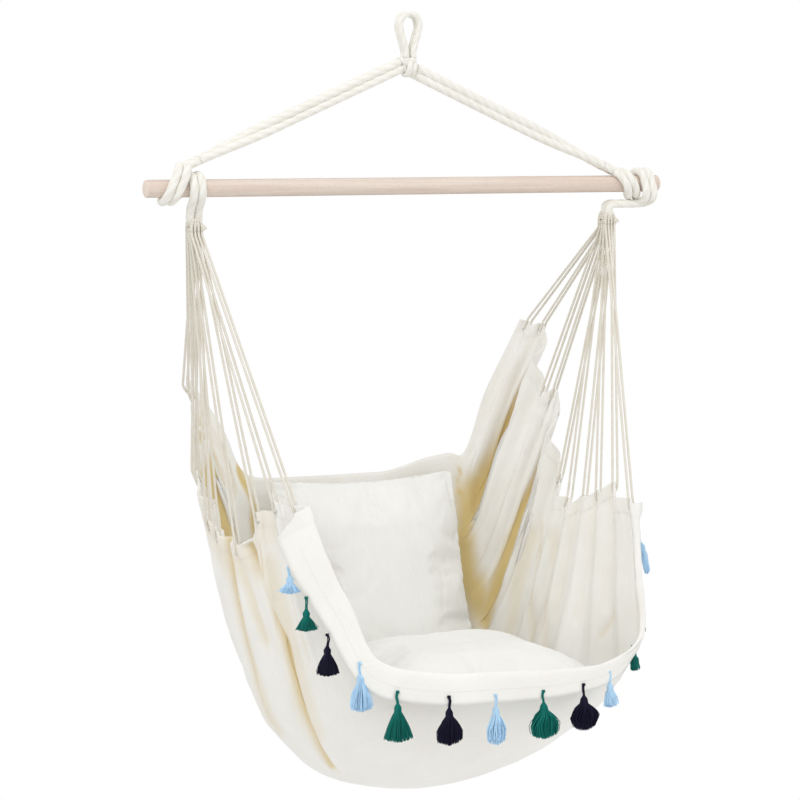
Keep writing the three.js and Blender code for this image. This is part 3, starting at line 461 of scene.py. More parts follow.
@dataclass(frozen=True)
class CanvasFinish:
    """Unbleached cotton canvas: matt, off-white, with painted golden shade and light where a photograph shows light in
    its folds.
    """

    name: str
    high: str = "F8F7F3"
    low: str = "F1EEE6"
    # Painted golden shade and light in the folds of the cloth
    painted_fold_shading: str = "E0C98D"
    # A canvas thread is about 0.8 mm wide; it is drawn at 2.2 mm so that it shows
    thread: float = 2.2 * MM
    weave_depth: float = 0.25 * MM

    def make(self) -> bpy.types.Material:
        """Builds the cloth's material: plain weave, slubs, faint mottling and painted golden shade in the folds."""
        paint = Shading(self.name, 0.94, 0.15, 0.1)
        lie = paint.lie()
        # A wave texture's band is 0.314 over its scale wide
        scale = math.pi / 10 / (2 * self.thread)
        wobble = paint.node("TexNoise", {"Scale": 30.0, "Detail": 2.0, "Vector": lie})
        shift = paint.node("VectorMath", {0: wobble.outputs["Color"], "Scale": 0.6 * self.thread}, operation="SCALE")
        drawn = paint.node("VectorMath", {0: lie, 1: shift.outputs[0]}, operation="ADD").outputs[0]
        warp, weft = (paint.node("TexWave", {"Scale": scale, "Vector": drawn}, bands_direction=way).outputs["Fac"]
                      for way in "XY")
        weave = paint.math("ABSOLUTE", paint.math("SUBTRACT", warp, weft))
        slub = paint.stretched((300.0, 30.0, 1.0), 2.0, lie)
        height = paint.math("MULTIPLY_ADD", slub, 0.7, weave)
        streak = paint.math("MULTIPLY_ADD", slub, 0.5, paint.noise(9.0, 4.0))
        plain = paint.mix(paint.remap(streak, {"From Min": 0.5, "From Max": 1.1}), linear(self.high), linear(self.low))
        # Painted golden shade in the folds, by the share that each vertex carries
        colour = paint.mix(paint.attribute("painted_fold_shading"), plain, linear(self.painted_fold_shading))
        return paint.done(colour, height, 0.3, self.weave_depth)


@dataclass(frozen=True)
class BeechFinish:
    """Bare sanded beech: pale pinkish brown, straight fine grain along the bar and short dark flecks."""

    name: str = "sanded_beech"
    pale: str = "F2E6DC"
    dark: str = "DECABB"
    fleck: str = "A98468"

    def make(self) -> bpy.types.Material:
        """Builds the wood's material, its grain running along X."""
        paint = Shading(self.name, 0.55, 0.3)
        # Growth bands about 4 mm wide and 200 mm long
        grain = paint.stretched((5.0, 240.0, 240.0), 5.0, Roughness=0.6)
        board = paint.stretched((1.6, 22.0, 22.0), 2.0)
        both = paint.math("MULTIPLY_ADD", board, 0.7, grain)
        wood = paint.mix(paint.remap(both, {"From Min": 0.55, "From Max": 1.15}), linear(self.pale), linear(self.dark))
        # Rays of the wood show as flecks 0.6 mm wide and 3 mm long
        fleck = paint.stretched((320.0, 1500.0, 1500.0), 1.0)
        mark = paint.remap(fleck, {"From Min": 0.62, "From Max": 0.75, "To Max": 0.5})
        rough = paint.remap(grain, {"To Min": 0.48, "To Max": 0.66})
        paint.tree.links.new(rough, paint.shader.inputs["Roughness"])
        return paint.done(paint.mix(mark, wood, linear(self.fleck)), both, 0.2, 0.2 * MM)


@dataclass(frozen=True)
class YarnFinish:
    """Loose spun yarn: matt and fuzzy, each strand a little lighter or darker than the next."""

    yarn: Yarn

    def make(self) -> bpy.types.Material:
        """Builds the yarn's material."""
        hex_colour, slot = self.yarn.value
        paint = Shading(f"spun_{slot}", 0.95, 0.12, 0.05)
        fuzz = paint.noise(1400.0, 2.0)
        both = paint.math("MULTIPLY_ADD", fuzz, 0.5, 0.05)
        value = paint.math("MULTIPLY_ADD", paint.attribute("strand"), 0.45, both)
        bright = paint.remap(value, {"To Min": 0.82, "To Max": 1.28})
        colour = paint.node("HueSaturation", {"Color": linear(hex_colour), "Value": bright}).outputs["Color"]
        return paint.done(colour, fuzz, 0.5, 0.3 * MM)


@dataclass
class Bar:
    """The turned beech bar that spreads the seat cords."""

    length: float = 1000 * MM
    diameter: float = 30 * MM
    drop: float = 287 * MM
    shift: float = 9 * MM
    sides: int = 72
    edge_radius: float = 3 * MM

    def build(self, finish: bpy.types.Material) -> bpy.types.Object:
        """Turns the bar: a rod with eased ends."""
        bpy.ops.object.select_all(action="DESELECT")
        bpy.ops.mesh.primitive_cylinder_add(
            vertices=self.sides, radius=self.diameter / 2, depth=self.length,
            location=(self.shift, 0, -self.drop), rotation=(0, math.pi / 2, 0))
        bar = bpy.context.object
        bar.name = "turned_beech_bar"
        bpy.ops.object.mode_set(mode="EDIT")
        bpy.ops.mesh.select_all(action="DESELECT")
        bpy.ops.object.mode_set(mode="OBJECT")
        for polygon in bar.data.polygons:
            polygon.select = len(polygon.vertices) > 4
        bpy.ops.object.mode_set(mode="EDIT")
        bpy.ops.mesh.bevel(offset=self.edge_radius, segments=5, affect="EDGES")
        bpy.ops.object.mode_set(mode="OBJECT")
        bpy.ops.object.transform_apply(location=True, rotation=True, scale=True)
        select_only(bar)
        bpy.ops.object.shade_smooth_by_angle(angle=math.radians(35))
        return settle(bar, "spreader", finish, ("spreader_bar",))


@dataclass
class Suspension:
    """The doubled rope above the bar: hanging eye, knot, legs and wraps on the bar."""

    bar: Bar
    rope: Laid = Laid(7.6 * MM, 70 * MM, groove_share=0.07, steps_per_turn=14)
    wrap_rope: Laid = Laid(7.6 * MM, 70 * MM, groove_share=0.08, steps_per_turn=18)
    eye_rope: Laid = Laid(5.8 * MM, 60 * MM, groove_share=0.08, steps_per_turn=18)
    knot_rope: Laid = Laid(5.4 * MM, 44 * MM, groove_share=0.08, steps_per_turn=14)
    core_rope: Laid = Laid(7.4 * MM, 70 * MM, groove_share=0.08, steps_per_turn=18)
    spacing: float = 13.2 * MM
    wrap_spacing: float = 14.8 * MM
    eye_spacing: float = 11.6 * MM
    eye_inner_width: float = 26 * MM
    eye_rise: float = 14.5 * MM
    eye_throat_drop: float = 46 * MM
    knot_drop: float = 80 * MM
    knot_radius: float = 17 * MM
    knot_pitch: float = 9.6 * MM
    # The solids' cord, along whose middle the thicker drawn one is laid
    knot_cord_radius: float = 4.5 * MM
    knot_turns: int = 2
    left_knot_end_reach: float = 16 * MM
    right_knot_end_reach: float = 14.64 * MM
    left_leg_rise: float = 11 * MM
    leg_twist_start_share: float = 0.55
    strap_width: float = 28 * MM
    strap_thickness: float = 14 * MM
    clearance: float = 0.3 * MM
    turn_clearance: float = 0.5 * MM
    steps_per_loop: int = 24
    left_start_x: float = 421 * MM
    left_outer_turn_x: float = 453 * MM
    right_start_x: float = 418 * MM
    right_outer_turn_x: float = 477 * MM
    head_x: float = 403 * MM
    head_ball_radius: float = 9 * MM
    tail_bend_radius: float = 9 * MM
    tail_run: float = 5 * MM
    tail_straight_share: float = 0.13

    @property
    def wrap_radius(self) -> float:
        """Radius of the strap's middle round the bar's axis."""
        return self.bar.diameter / 2 + self.clearance + self.strap_thickness / 2

    @property
    def cross_radius(self) -> float:
        """Radius of the strap's middle where it passes over another turn."""
        return self.wrap_radius + self.strap_thickness + self.turn_clearance

    @property
    def head_pivot_drop(self) -> float:
        """How far below the origin the cord heads turn."""
        tail = self.tail_bend_radius + self.tail_run + self.clearance + self.head_ball_radius
        return self.bar.drop + self.cross_radius + tail

    @property
    def tail_end_drop(self) -> float:
        """How far below the origin the wraps' tails end."""
        return self.head_pivot_drop - self.head_ball_radius - self.clearance

    def around_bar(self, x: float, degrees: float, radius: float) -> np.ndarray:
        """A place round the bar, turned from its top over its front."""
        angle = math.radians(degrees)
        return np.array([x, -radius * math.sin(angle), radius * math.cos(angle) - self.bar.drop])

    def out_of_bar(self, place: np.ndarray) -> np.ndarray:
        """The direction from the bar's axis to a place."""
        return unit(np.array([0, place[1], place[2] + self.bar.drop]))

    def leg_run(self, start: np.ndarray) -> np.ndarray:
        """The place one strap width up the leg from where it meets the bar."""
        return start + unit(np.array([0, 0, -self.knot_drop]) - start) * self.strap_width

    def left_wrap(self) -> tuple[np.ndarray, np.ndarray]:
        """The left strap: over the turn that follows, down the front, once round and down to the head.

        Returns:
            Its points, and the direction of its thin side at each.
        """
        first = self.around_bar(-self.left_start_x, 0, self.cross_radius)
        points = [self.leg_run(first), (self.leg_run(first) + first) / 2]
        thin = [np.array([0, 0, 1.0])] * 2
        step = 360 / self.steps_per_loop
        for degrees in np.arange(0, 450 + step / 2, step):
            out = math.sin(math.radians(min(degrees, 180) / 2))
            back = smooth((degrees - 180) / 150)
            x = (-self.left_start_x - (self.left_outer_turn_x - self.left_start_x) * out
                 + (self.left_outer_turn_x - self.head_x) * back)
            lift = 1 - smooth((degrees - step) / (4 * step))
            radius = self.wrap_radius + (self.cross_radius - self.wrap_radius) * lift
            points.append(self.around_bar(x, degrees, radius))
            thin.append(self.out_of_bar(points[-1]))
        top = points[-1]
        for share in np.linspace(1 / 7, 1, 7):
            z = top[2] + (-self.tail_end_drop - top[2]) * share
            inward = smooth((share - self.tail_straight_share) / (1 - 2 * self.tail_straight_share))
            points.append(np.array([-self.head_x, top[1] * (1 - inward), z]))
            thin.append(np.array([0, -1.0, 0]))
        return np.array(points), np.array(thin)

    def right_wrap(self) -> tuple[np.ndarray, np.ndarray]:
        """The right strap: down the front, once round outwards and back under the first turn.

        Returns:
            Its points, and the direction of its thin side at each.
        """
        first = self.around_bar(self.right_start_x, 0, self.wrap_radius)
        points = [self.leg_run(first), (self.leg_run(first) + first) / 2]
        thin = [np.array([0, 0, 1.0])] * 2
        step = 360 / self.steps_per_loop
        cross_angle = 495
        for degrees in np.arange(0, cross_angle + step / 2, step):
            out = 1 - (1 - min(degrees / 450, 1)) ** 2
            lift = smooth((degrees - cross_angle + 4 * step) / (4 * step))
            x = self.right_start_x + (self.right_outer_turn_x - self.right_start_x) * out
            radius = self.wrap_radius + (self.cross_radius - self.wrap_radius) * lift
            points.append(self.around_bar(x, degrees, radius))
            thin.append(self.out_of_bar(points[-1]))
        corner = points[-1]
        under = -self.bar.drop - self.cross_radius
        bend_x = self.head_x + self.tail_bend_radius
        handles = (corner, self.around_bar(corner[0], cross_angle + step * 1.6, self.cross_radius),
                   np.array([corner[0], 0, under]),
                   np.array([corner[0] - self.strap_width * 0.84, 0, under]))
        for share in (0.25, 0.5, 0.75, 1):
            rest = 1 - share
            weights = (rest ** 3, 3 * rest ** 2 * share, 3 * rest * share ** 2, share ** 3)
            points.append(sum(w * h for w, h in zip(weights, handles)))
            thin.append(self.out_of_bar(points[-1]))
        run_end = points[-1][0]
        for share in (0.5, 1):
            points.append(np.array([run_end + (bend_x - run_end) * share, 0, under]))
            thin.append(np.array([0, 0, -1.0]))
        for share in np.linspace(0.2, 1, 5):
            angle = share * math.pi / 2
            points.append(np.array([bend_x - self.tail_bend_radius * math.sin(angle), 0,
                                    under - self.tail_bend_radius * (1 - math.cos(angle))]))
            thin.append(np.array([math.sin(angle), 0, -math.cos(angle)]))
        points.append(np.array([self.head_x, 0, -self.tail_end_drop]))
        thin.append(np.array([1.0, 0, 0]))
        return np.array(points), np.array(thin)

    def build_wrap(self, side: Side, finish: bpy.types.Material) -> np.ndarray:
        """Makes one wrap of two ropes side by side.

        Args:
            side: the end of the bar.
            finish: the rope's material.

        Returns:
            Where the wrap starts, at the foot of its leg.
        """
        points, thin = self.left_wrap() if side is Side.LEFT else self.right_wrap()
        tangents = unit(np.gradient(points, axis=0))
        thin = unit(thin - tangents * np.sum(thin * tangents, axis=1, keepdims=True))
        wide = np.cross(thin, tangents)
        ease = smooth(np.arange(len(points)) / 4)[:, None]
        apart = self.spacing + (self.wrap_spacing - self.spacing) * ease
        quarter = np.linspace(0, math.pi / 2, 6)[1:, None]
        ropes = []
        for k, sign in enumerate((1, -1)):
            route = points + wide * sign * apart / 2
            bight = points[-1] + wide[-1] * sign * np.cos(quarter) * self.wrap_spacing / 2
            bight = bight + tangents[-1] * np.sin(quarter) * self.wrap_spacing * 0.62
            even = Spline(np.concatenate([route, bight])).even(self.wrap_rope.lay / self.wrap_rope.steps_per_turn)
            ropes.append(self.wrap_rope.tube(f"{side.word}_wrap_rope_{k}", even, k * 1.9, rounded=False))
        wrap = join(f"{side.word}_wrap_ropes", ropes)
        settle(wrap, "spreader", finish, (f"{side.word}_bar_wrap",))
        return points[0]

    def leg_start(self, side: Side, foot: np.ndarray) -> tuple[np.ndarray, np.ndarray, np.ndarray]:
        """Where a leg leaves the knot.

        Args:
            side: the end of the bar.
            foot: where the wrap starts.

        Returns:
            The leg's start, its direction and the direction from its lower strand to its upper one.
        """
        left = side is Side.LEFT
        aim = np.array([0, 0, (self.left_leg_rise if left else 0) - self.knot_drop])
        away = unit(foot - aim)
        over = unit(np.cross(away, (0, 1.0, 0)))
        reach = self.left_knot_end_reach if left else self.right_knot_end_reach
        return aim + away * reach, away, over * np.sign(over[2])

    def build_leg(self, side: Side, foot: np.ndarray, finish: bpy.types.Material) -> None:
        """Makes the two strands of one leg, which turn side by side where they meet the wrap.

        Args:
            side: the end of the bar.
            foot: where the wrap starts.
            finish: the rope's material.
        """
        start, away, over = self.leg_start(side, foot)
        end = foot - away * self.clearance
        level = np.array([0, 1.0, 0])
        for name, sign in (("upper", 1), ("lower", -1)):
            route = []
            for t in np.linspace(0, 1, 40):
                turn = smooth((t - self.leg_twist_start_share) / (1 - self.leg_twist_start_share)) * math.pi / 2
                swing = sign * self.spacing / 2 * (over * math.cos(turn) + level * math.sin(turn))
                route.append(start + (end - start) * t + swing)
            leg = self.rope.along(f"{side.word}_leg_{name}_strand", route, 0.8 * sign, rounded=False)
            settle(leg, "spreader", finish, (f"{side.word}_leg_rope_{name}",))

    def build_eye(self, finish: bpy.types.Material) -> None:
        """Makes the two strands of the hanging eye, each a bight with its ends in the knot."""
        strand = self.eye_rope.radius
        bow = self.eye_inner_width / 2 + strand
        foot = -(self.knot_drop - self.knot_radius - self.clearance)
        throat = self.eye_rope.radius * 1.2
        rise, slope = self.eye_rise, math.sqrt(0.5)
        half = [(throat, foot), (throat, -self.eye_throat_drop - strand),
                ((bow + throat) / 2, -(self.eye_throat_drop + bow) / 2 + strand / 2), (bow, rise - bow * 1.1),
                (bow * slope, rise - bow + bow * slope)]
        outline = [(-x, z) for x, z in half] + [(0, rise)] + half[::-1]
        for name, node, side in (("front", "eye_strand_front", -1), ("back", "eye_strand_back", 1)):
            route = [(x, side * self.eye_spacing / 2, z) for x, z in outline]
            eye = self.eye_rope.along(f"hanging_eye_{name}_rope", route, side, rounded=False)
            settle(eye, "eye", finish, (node,))

    def build_knot(self, feet: dict[Side, np.ndarray], finish: bpy.types.Material) -> None:
        """Makes the knot: turns of cord round the four strands that run through it, from eye to legs.

        Args:
            feet: where the wrap of each side starts.
            finish: the rope's material.
        """
        turns = []
        for degrees in np.arange(0, 360 * self.knot_turns + 1, 15):
            along = (degrees / 360 - self.knot_turns / 2) * self.knot_pitch
            reach = math.sqrt((self.knot_radius - self.knot_cord_radius) ** 2 - along ** 2)
            angle = math.radians(degrees)
            turns.append((along, reach * math.sin(angle), reach * math.cos(angle) - self.knot_drop))
        pieces = [self.knot_rope.along("knot_turns", turns)]
        top = -(self.knot_drop - self.knot_radius)
        for side in Side:
            start, away, over = self.leg_start(side, feet[side])
            for sign in (1, -1):
                end = start - away * self.clearance + over * sign * self.spacing / 2
                route = [(side.value * self.eye_rope.radius * 0.9, -sign * self.eye_spacing / 2, top),
                         (side.value * 5 * MM, -sign * 6 * MM, top - 8 * MM), end - away * 7 * MM, end]
                pieces.append(self.core_rope.along("knot_core", route, sign, rounded=False))
        knot = join("knot_turns", pieces)
        settle(knot, "knot", finish, ("eye_knot",))

    def build(self, finish: bpy.types.Material) -> None:
        """Makes all the rope above the seat."""
        self.build_eye(finish)
        feet = {side: self.build_wrap(side, finish) for side in Side}
        self.build_knot(feet, finish)
        for side in Side:
            self.build_leg(side, feet[side], finish)


@dataclass
class ClothHalf:
    """One half of the pouch, from its keel out to one hem."""

    side: Side
    tab_shares: tuple
    front_shares: tuple
    recede: float
    size: "Pouch"

    def __post_init__(self) -> None:
        """Works out the tabs, the hem's curve and the cross-sections."""
        size = self.size
        self.tabs = np.array([(self.side.value * out * size.half_width, reach * size.back_reach, -drop * size.drop)
                              for out, reach, drop in self.tab_shares])
        self.hem = Spline(self.tabs)
        self.shares = np.linspace(1, 0, size.section_samples)
        sections = (BACK_SECTION_SHARES, MIDDLE_SECTION_SHARES, self.front_shares)
        self.sections = [self.section(table) for table in sections]

    def section(self, table: tuple) -> np.ndarray:
        """Samples one cross-section at the even shares from hem to keel."""
        curve = Spline([(out, rise, 0) for out, rise in table])
        return np.array([curve.at(share)[:2] for share in self.shares])

    def hem_place(self, station: float) -> np.ndarray:
        """The place of the hem at a station, run on past the first and last tab.

        Args:
            station: the share of the way from back edge to front ridge.

        Returns:
            The place on the hem's edge.
        """
        stations = TAB_STATION_SHARES
        last = len(stations) - 1
        if station <= stations[0] or station >= stations[last]:
            end = 0 if station <= stations[0] else last
            way = (station - stations[end]) * self.size.reach
            return self.tabs[end] + self.hem.tangent(end / last) * way
        i = int(np.searchsorted(stations, station)) - 1
        share = (station - stations[i]) / (stations[i + 1] - stations[i])
        return self.hem.at((i + share) / last)

    def column(self, station: float, fold: float, drop: float) -> tuple[np.ndarray, np.ndarray, np.ndarray]:
        """One line of places from the hem down to the keel.

        Args:
            station: the share of the way from back edge to front ridge.
            fold: how far the cloth stands out there, inwards where negative.
            drop: how far the hem sags there.

        Returns:
            The places, each one's share of the way from keel to hem, and its distance from the hem.
        """
        size = self.size
        hem = self.hem_place(station)
        near = int(np.argmin(np.abs(np.array(TAB_STATION_SHARES) - station)))
        offset = station - TAB_STATION_SHARES[near]
        hem = hem - np.array([0, 0, drop])
        level = self.tabs[near] + np.array([0, -offset * size.reach, 0])
        grip = smooth(1 - (abs(offset) - size.eyelet_station) / size.eyelet_station)
        hem = hem * (1 - grip) + level * grip
        low = size.keel.at(station)
        back = 1 - smooth(station / 0.4)
        front = smooth((station - 0.62) / 0.38)
        way = self.sections[0] * back + self.sections[1] * (1 - back - front) + self.sections[2] * front
        rail = low + (hem - low) * way[:, (0, 1, 1)]
        rail[:, 1] += self.recede * front * way[:, 0] ** 2 * (1 - way[:, 1])
        run = run_along(rail)
        want = np.concatenate([size.hem_rows, np.linspace(size.hem_rows[-1], run[-1], size.lower_rows + 1)[1:]])
        places = places_at(want, run, rail)
        share = np.interp(want, run, self.shares)
        down = unit(rail[int(0.1 * (size.section_samples - 1))] - hem)
        outward = np.array([self.side.value, 0, 0])
        normal = unit(outward - down * np.dot(outward, down))
        deep = smooth((abs(fold) - size.fold_depth) / size.fold_depth)
        fade = smooth((share - 0.25 - 0.5 * deep) / (0.6 - 0.38 * deep))
        return places + normal * (fold * fade)[:, None], share, want


@dataclass(frozen=True)
class Crease:
    """A long fold of the cloth or a place of painted golden shade: its path as stations and shares, its widths, depth
    and painted shade.
    """

    side: Side
    path: tuple
    widths: tuple
    depth: float = 0.0
    # How much painted golden shade it lays on the cloth, from 0 to 1
    painted_fold_shading: float = 0.0
    outer: bool = False

    def near(self, station: np.ndarray, share: np.ndarray, extent: tuple) -> np.ndarray:
        """How near each place is to the path: 0 on it and 1 at its width's end.

        Args:
            station: each place's station.
            share: each place's share.
            extent: the cloth's length along its stations and along its shares.

        Returns:
            The distance as a share of the width there.
        """
        places = np.stack(np.broadcast_arrays(station * extent[0], share * extent[1]), axis=-1)
        keys = np.array(self.path) * np.array(extent)
        widths = np.interp(np.linspace(0, 1, len(keys)), np.linspace(0, 1, len(self.widths)), self.widths)
        best = np.full(places.shape[:-1], 99.0)
        for a, b, w0, w1 in zip(keys[:-1], keys[1:], widths[:-1], widths[1:]):
            along = np.clip(((places - a) @ (b - a)) / np.dot(b - a, b - a), 0, 1)
            gap = np.linalg.norm(places - a - along[..., None] * (b - a), axis=-1)
            best = np.minimum(best, gap / (w0 + (w1 - w0) * along))
        return best


@dataclass
class Pouch:
    """The canvas seat: two halves on ten tabs a side, and the front hem turned over."""

    half_width: float = 350 * MM
    back_reach: float = 228 * MM
    front_reach: float = 347 * MM
    drop: float = 1380 * MM
    half_thickness: float = 1.2 * MM
    hem_half_thickness: float = 1.9 * MM
    eyelet_width: float = 9 * MM
    eyelet_height: float = 10.5 * MM
    hem_depth: float = 12 * MM
    hem_seam_depth: float = 26 * MM
    valley_drop: float = 15 * MM
    fold_depth: float = 9 * MM
    deep_fold_depth: float = 26 * MM
    # The spans between tabs, from the back, that sink in a deep fold
    deep_spans: tuple = (1, 3)
    flap_width: float = 52 * MM
    flap_stand: float = 9 * MM
    left_recess: float = 12 * MM
    right_recess: float = 66 * MM
    eyelet_station: float = 0.008
    section_samples: int = 241
    lower_rows: int = 62
    column_step_share: float = 0.0042
    flap_steps: int = 14
    flap_stations: float = 0.09
    keel_blur: float = 75 * MM
    front_blur_share: float = 0.05
    back_curl_rise: float = 25 * MM
    back_curl_reach: float = 8 * MM

    def __post_init__(self) -> None:
        """Works out the reach, the rows, the keel and the two halves."""
        self.reach = self.back_reach + self.front_reach
        self.hem_rows = np.array([0, 3, 6, 9, 12, 14.6, 17.25, 19.9, 22.5, 26, 31, 38, 47]) * MM
        self.keel = Spline([(0, reach * (self.back_reach if reach > 0 else self.front_reach), -drop * self.drop)
                            for reach, drop in KEEL_SHARES])
        self.halves = (
            ClothHalf(Side.LEFT, LEFT_TAB_SHARES, LEFT_FRONT_SHARES, self.left_recess, self),
            ClothHalf(Side.RIGHT, RIGHT_TAB_SHARES, RIGHT_FRONT_SHARES, self.right_recess, self))
        left, right = Side.LEFT, Side.RIGHT
        # Paths are (station, share) and widths are half widths in metres
        self.creases = (
            # The left half's outer face: two deep folds with painted golden shade, broad painted shade, then gathers
            # and spots of painted shade at its tabs
            Crease(left, ((0.515, 1.03), (0.525, 0.86), (0.533, 0.65), (0.533, 0.48)), (0.007, 0.010, 0.012), 0.012,
                   0.75, True),
            Crease(left, ((0.64, 0.99), (0.712, 0.784), (0.735, 0.684), (0.723, 0.438), (0.70, 0.33)),
                   (0.007, 0.012, 0.012), 0.013, 0.75, True),
            Crease(left, ((0.545, 0.95), (0.56, 0.70), (0.56, 0.50)), (0.024, 0.032), 0, 0.30, True),
            Crease(left, ((0.735, 0.88), (0.75, 0.65), (0.74, 0.45)), (0.022, 0.032), 0, 0.27, True),
            Crease(left, ((0.36, 0.97), (0.48, 0.955), (0.60, 0.955), (0.76, 0.965)), (0.045,), 0, 0.22, True),
            Crease(left, ((0.43, 1.0), (0.45, 0.8), (0.455, 0.6)), (0.008,), 0.005, 0.30, True),
            Crease(left, ((0.60, 1.0), (0.625, 0.86), (0.64, 0.75)), (0.008,), 0.005, 0.30, True),
            Crease(left, ((0.712, 0.93), (0.708, 0.81)), (0.008,), 0.002, 0.45, True),
            Crease(left, ((0.0, 0.99), (0.025, 0.965)), (0.012,), 0, 1.0, True),
            Crease(left, ((0.12, 0.97), (0.13, 0.90)), (0.012,), 0, 0.6, True),
            Crease(left, ((0.80, 0.97), (0.815, 0.8), (0.82, 0.6)), (0.009,), 0.004, 0.15, True),
            # The left half's inner face
            Crease(left, ((0.0, 0.585), (0.02, 0.50), (0.06, 0.465), (0.085, 0.445), (0.11, 0.425)),
                   (0.006, 0.014, 0.024), 0, 1.0),
            Crease(left, ((0.13, 0.90), (0.15, 0.80), (0.17, 0.68)), (0.040, 0.050), 0.003, 0.95),
            Crease(left, ((0.25, 0.92), (0.27, 0.84)), (0.030,), 0.002, 0.60),
            Crease(left, ((0.03, 1.0), (0.05, 0.8), (0.06, 0.6)), (0.010,), 0.004, 0.30),
            Crease(left, ((0.22, 1.0), (0.24, 0.85), (0.25, 0.7)), (0.010,), 0.004, 0.25),
            # The right half's inner face: two folds with painted golden shade, joined at their foot by a patch of it,
            # then soft ones
            Crease(right, ((0.122, 0.93), (0.112, 0.85), (0.104, 0.76), (0.098, 0.68), (0.086, 0.60), (0.088, 0.55)),
                   (0.006, 0.011, 0.015, 0.020, 0.024), 0.010, 1.0),
            Crease(right, ((0.078, 0.57), (0.084, 0.53), (0.095, 0.490), (0.15, 0.468), (0.25, 0.452)),
                   (0.018, 0.040, 0.052, 0.052), 0, 1.0),
            Crease(right, ((0.30, 0.92), (0.283, 0.83), (0.270, 0.72), (0.272, 0.60), (0.286, 0.52), (0.305, 0.46)),
                   (0.006, 0.009, 0.013, 0.019, 0.024), 0.009, 1.0),
            Crease(right, ((0.34, 0.78), (0.345, 0.66), (0.375, 0.57), (0.41, 0.50)), (0.018, 0.024), 0.002, 0.24),
            Crease(right, ((0.361, 0.82), (0.43, 0.72), (0.504, 0.60)), (0.014,), 0.003, 0.22),
            Crease(right, ((0.455, 0.90), (0.53, 0.74), (0.584, 0.60)), (0.014,), 0.003, 0.16),
            Crease(right, ((0.028, 0.486), (0.055, 0.484)), (0.010,), 0.002, 1.0),
            Crease(right, ((0.57, 1.0), (0.575, 0.72)), (0.010,), 0.003, 0.08),
            Crease(right, ((0.71, 1.0), (0.70, 0.72)), (0.010,), 0.003, 0.06),
            Crease(right, ((0.83, 1.0), (0.82, 0.76)), (0.010,), 0.003, 0.05),
            Crease(right, ((0.862, 0.74), (0.811, 0.70)), (0.006,), 0.003, 0.20),
        )

    def stations(self) -> np.ndarray:
        """Stations of the columns, closer at each tab so that its eyelet is cut to its shape."""
        step = self.column_step_share
        free = np.arange(0, 1 + step / 2, step)
        offsets = np.array([-1.5, -1, -0.67, -0.33, 0, 0.33, 0.67, 1, 1.5]) * self.eyelet_station
        tabs = (np.array(TAB_STATION_SHARES)[:, None] + offsets).ravel()
        keep = [s for s in free if np.min(np.abs(tabs - s)) > step * 0.45]
        return np.array(sorted([s for s in keep if s < 1] + [s for s in tabs if 0 < s < 1] + [1.0]))

    def hem_wave(self, stations: np.ndarray) -> tuple[np.ndarray, np.ndarray]:
        """How the hem stands out at its tabs and sinks between them.

        Args:
            stations: the columns' stations.

        Returns:
            The fold and the drop at each column.
        """
        keys, folds, drops = [0.0], [0.0], [0.0]
        tabs = TAB_STATION_SHARES
        for i, station in enumerate(tabs):
            for edge in (-self.eyelet_station, self.eyelet_station):
                keys.append(station + edge)
                folds.append(self.fold_depth)
                drops.append(0)
            if i + 1 == len(tabs):
                break
            span = tabs[i + 1] - station
            if i in self.deep_spans:
                keys += [station + span * share for share in (0.32, 0.5, 0.68)]
                folds += [0.4 * self.deep_fold_depth, -self.deep_fold_depth, 0.4 * self.deep_fold_depth]
                drops += [0.6 * self.valley_drop, self.valley_drop, 0.6 * self.valley_drop]
            else:
                keys.append(station + span / 2)
                folds.append(-self.fold_depth)
                drops.append(self.valley_drop)
        keys.append(1.0)
        folds.append(0)
        drops.append(0)
        weights = blur_weights(stations, 0.006)
        return weights @ np.interp(stations, keys, folds), weights @ np.interp(stations, keys, drops)

    def lay_grid(self) -> None:
        """Works out the middle of the sheet, its shares and its distances, column by column."""
        stations = self.stations()
        folds, drops = self.hem_wave(stations)
        grid, shares, runs = [], [], []
        for station, fold, drop in zip(stations, folds, drops):
            left, left_share, left_run = self.halves[0].column(station, fold, drop)
            right, right_share, right_run = self.halves[1].column(station, fold, drop)
            grid.append(np.concatenate([left, right[-2::-1]]))
            shares.append(np.concatenate([-left_share, right_share[-2::-1]]))
            runs.append(np.concatenate([left_run, right_run[-2::-1]]))
        self.grid, self.share, self.run = np.array(grid), np.array(shares), np.array(runs)
        self.station = stations
        self.round_keel()
        self.round_front()
        self.add_flap()

    def round_keel(self) -> None:
        """Rounds the bend where the two halves meet along the keel."""
        for i, line in enumerate(self.grid):
            change = blur_weights(run_along(line), self.keel_blur) @ line - line
            blend = smooth((0.34 - np.abs(self.share[i])) / 0.24) * smooth((0.985 - self.station[i]) / 0.05)
            self.grid[i] = line + change * blend[:, None]

    def round_front(self) -> None:
        """Rounds the bends of the cloth under the front of the seat, without drawing it in."""
        change = np.einsum("ij,jrk->irk", blur_weights(self.station, self.front_blur_share), self.grid) - self.grid
        along = smooth((self.station - 0.60) / 0.12) * smooth((0.975 - self.station) / 0.06)
        blend = along[:, None] * smooth((0.52 - np.abs(self.share)) / 0.2)
        outward = self.normals()
        drawn = float(np.max(-np.sum(change * outward, axis=2) * blend))
        self.grid = self.grid + change * blend[..., None] + outward * (drawn * blend)[..., None]
        log.info("the bends under the seat are rounded by %.1f mm", drawn / MM)

    def add_flap(self) -> None:
        """Carries the front ridge out, over and down as the turned-over hem."""
        ridge, before = self.grid[-1], self.grid[-4]
        rows = len(ridge)
        lean, off = Spline(FLAP_LEAN_SHARES), Spline([(share, 0, 0) for share in FLAP_STAND_SHARES])
        steps = np.linspace(1 / 3, 1, self.flap_steps + 1)[1:]
        columns = np.zeros((self.flap_steps, rows, 3))
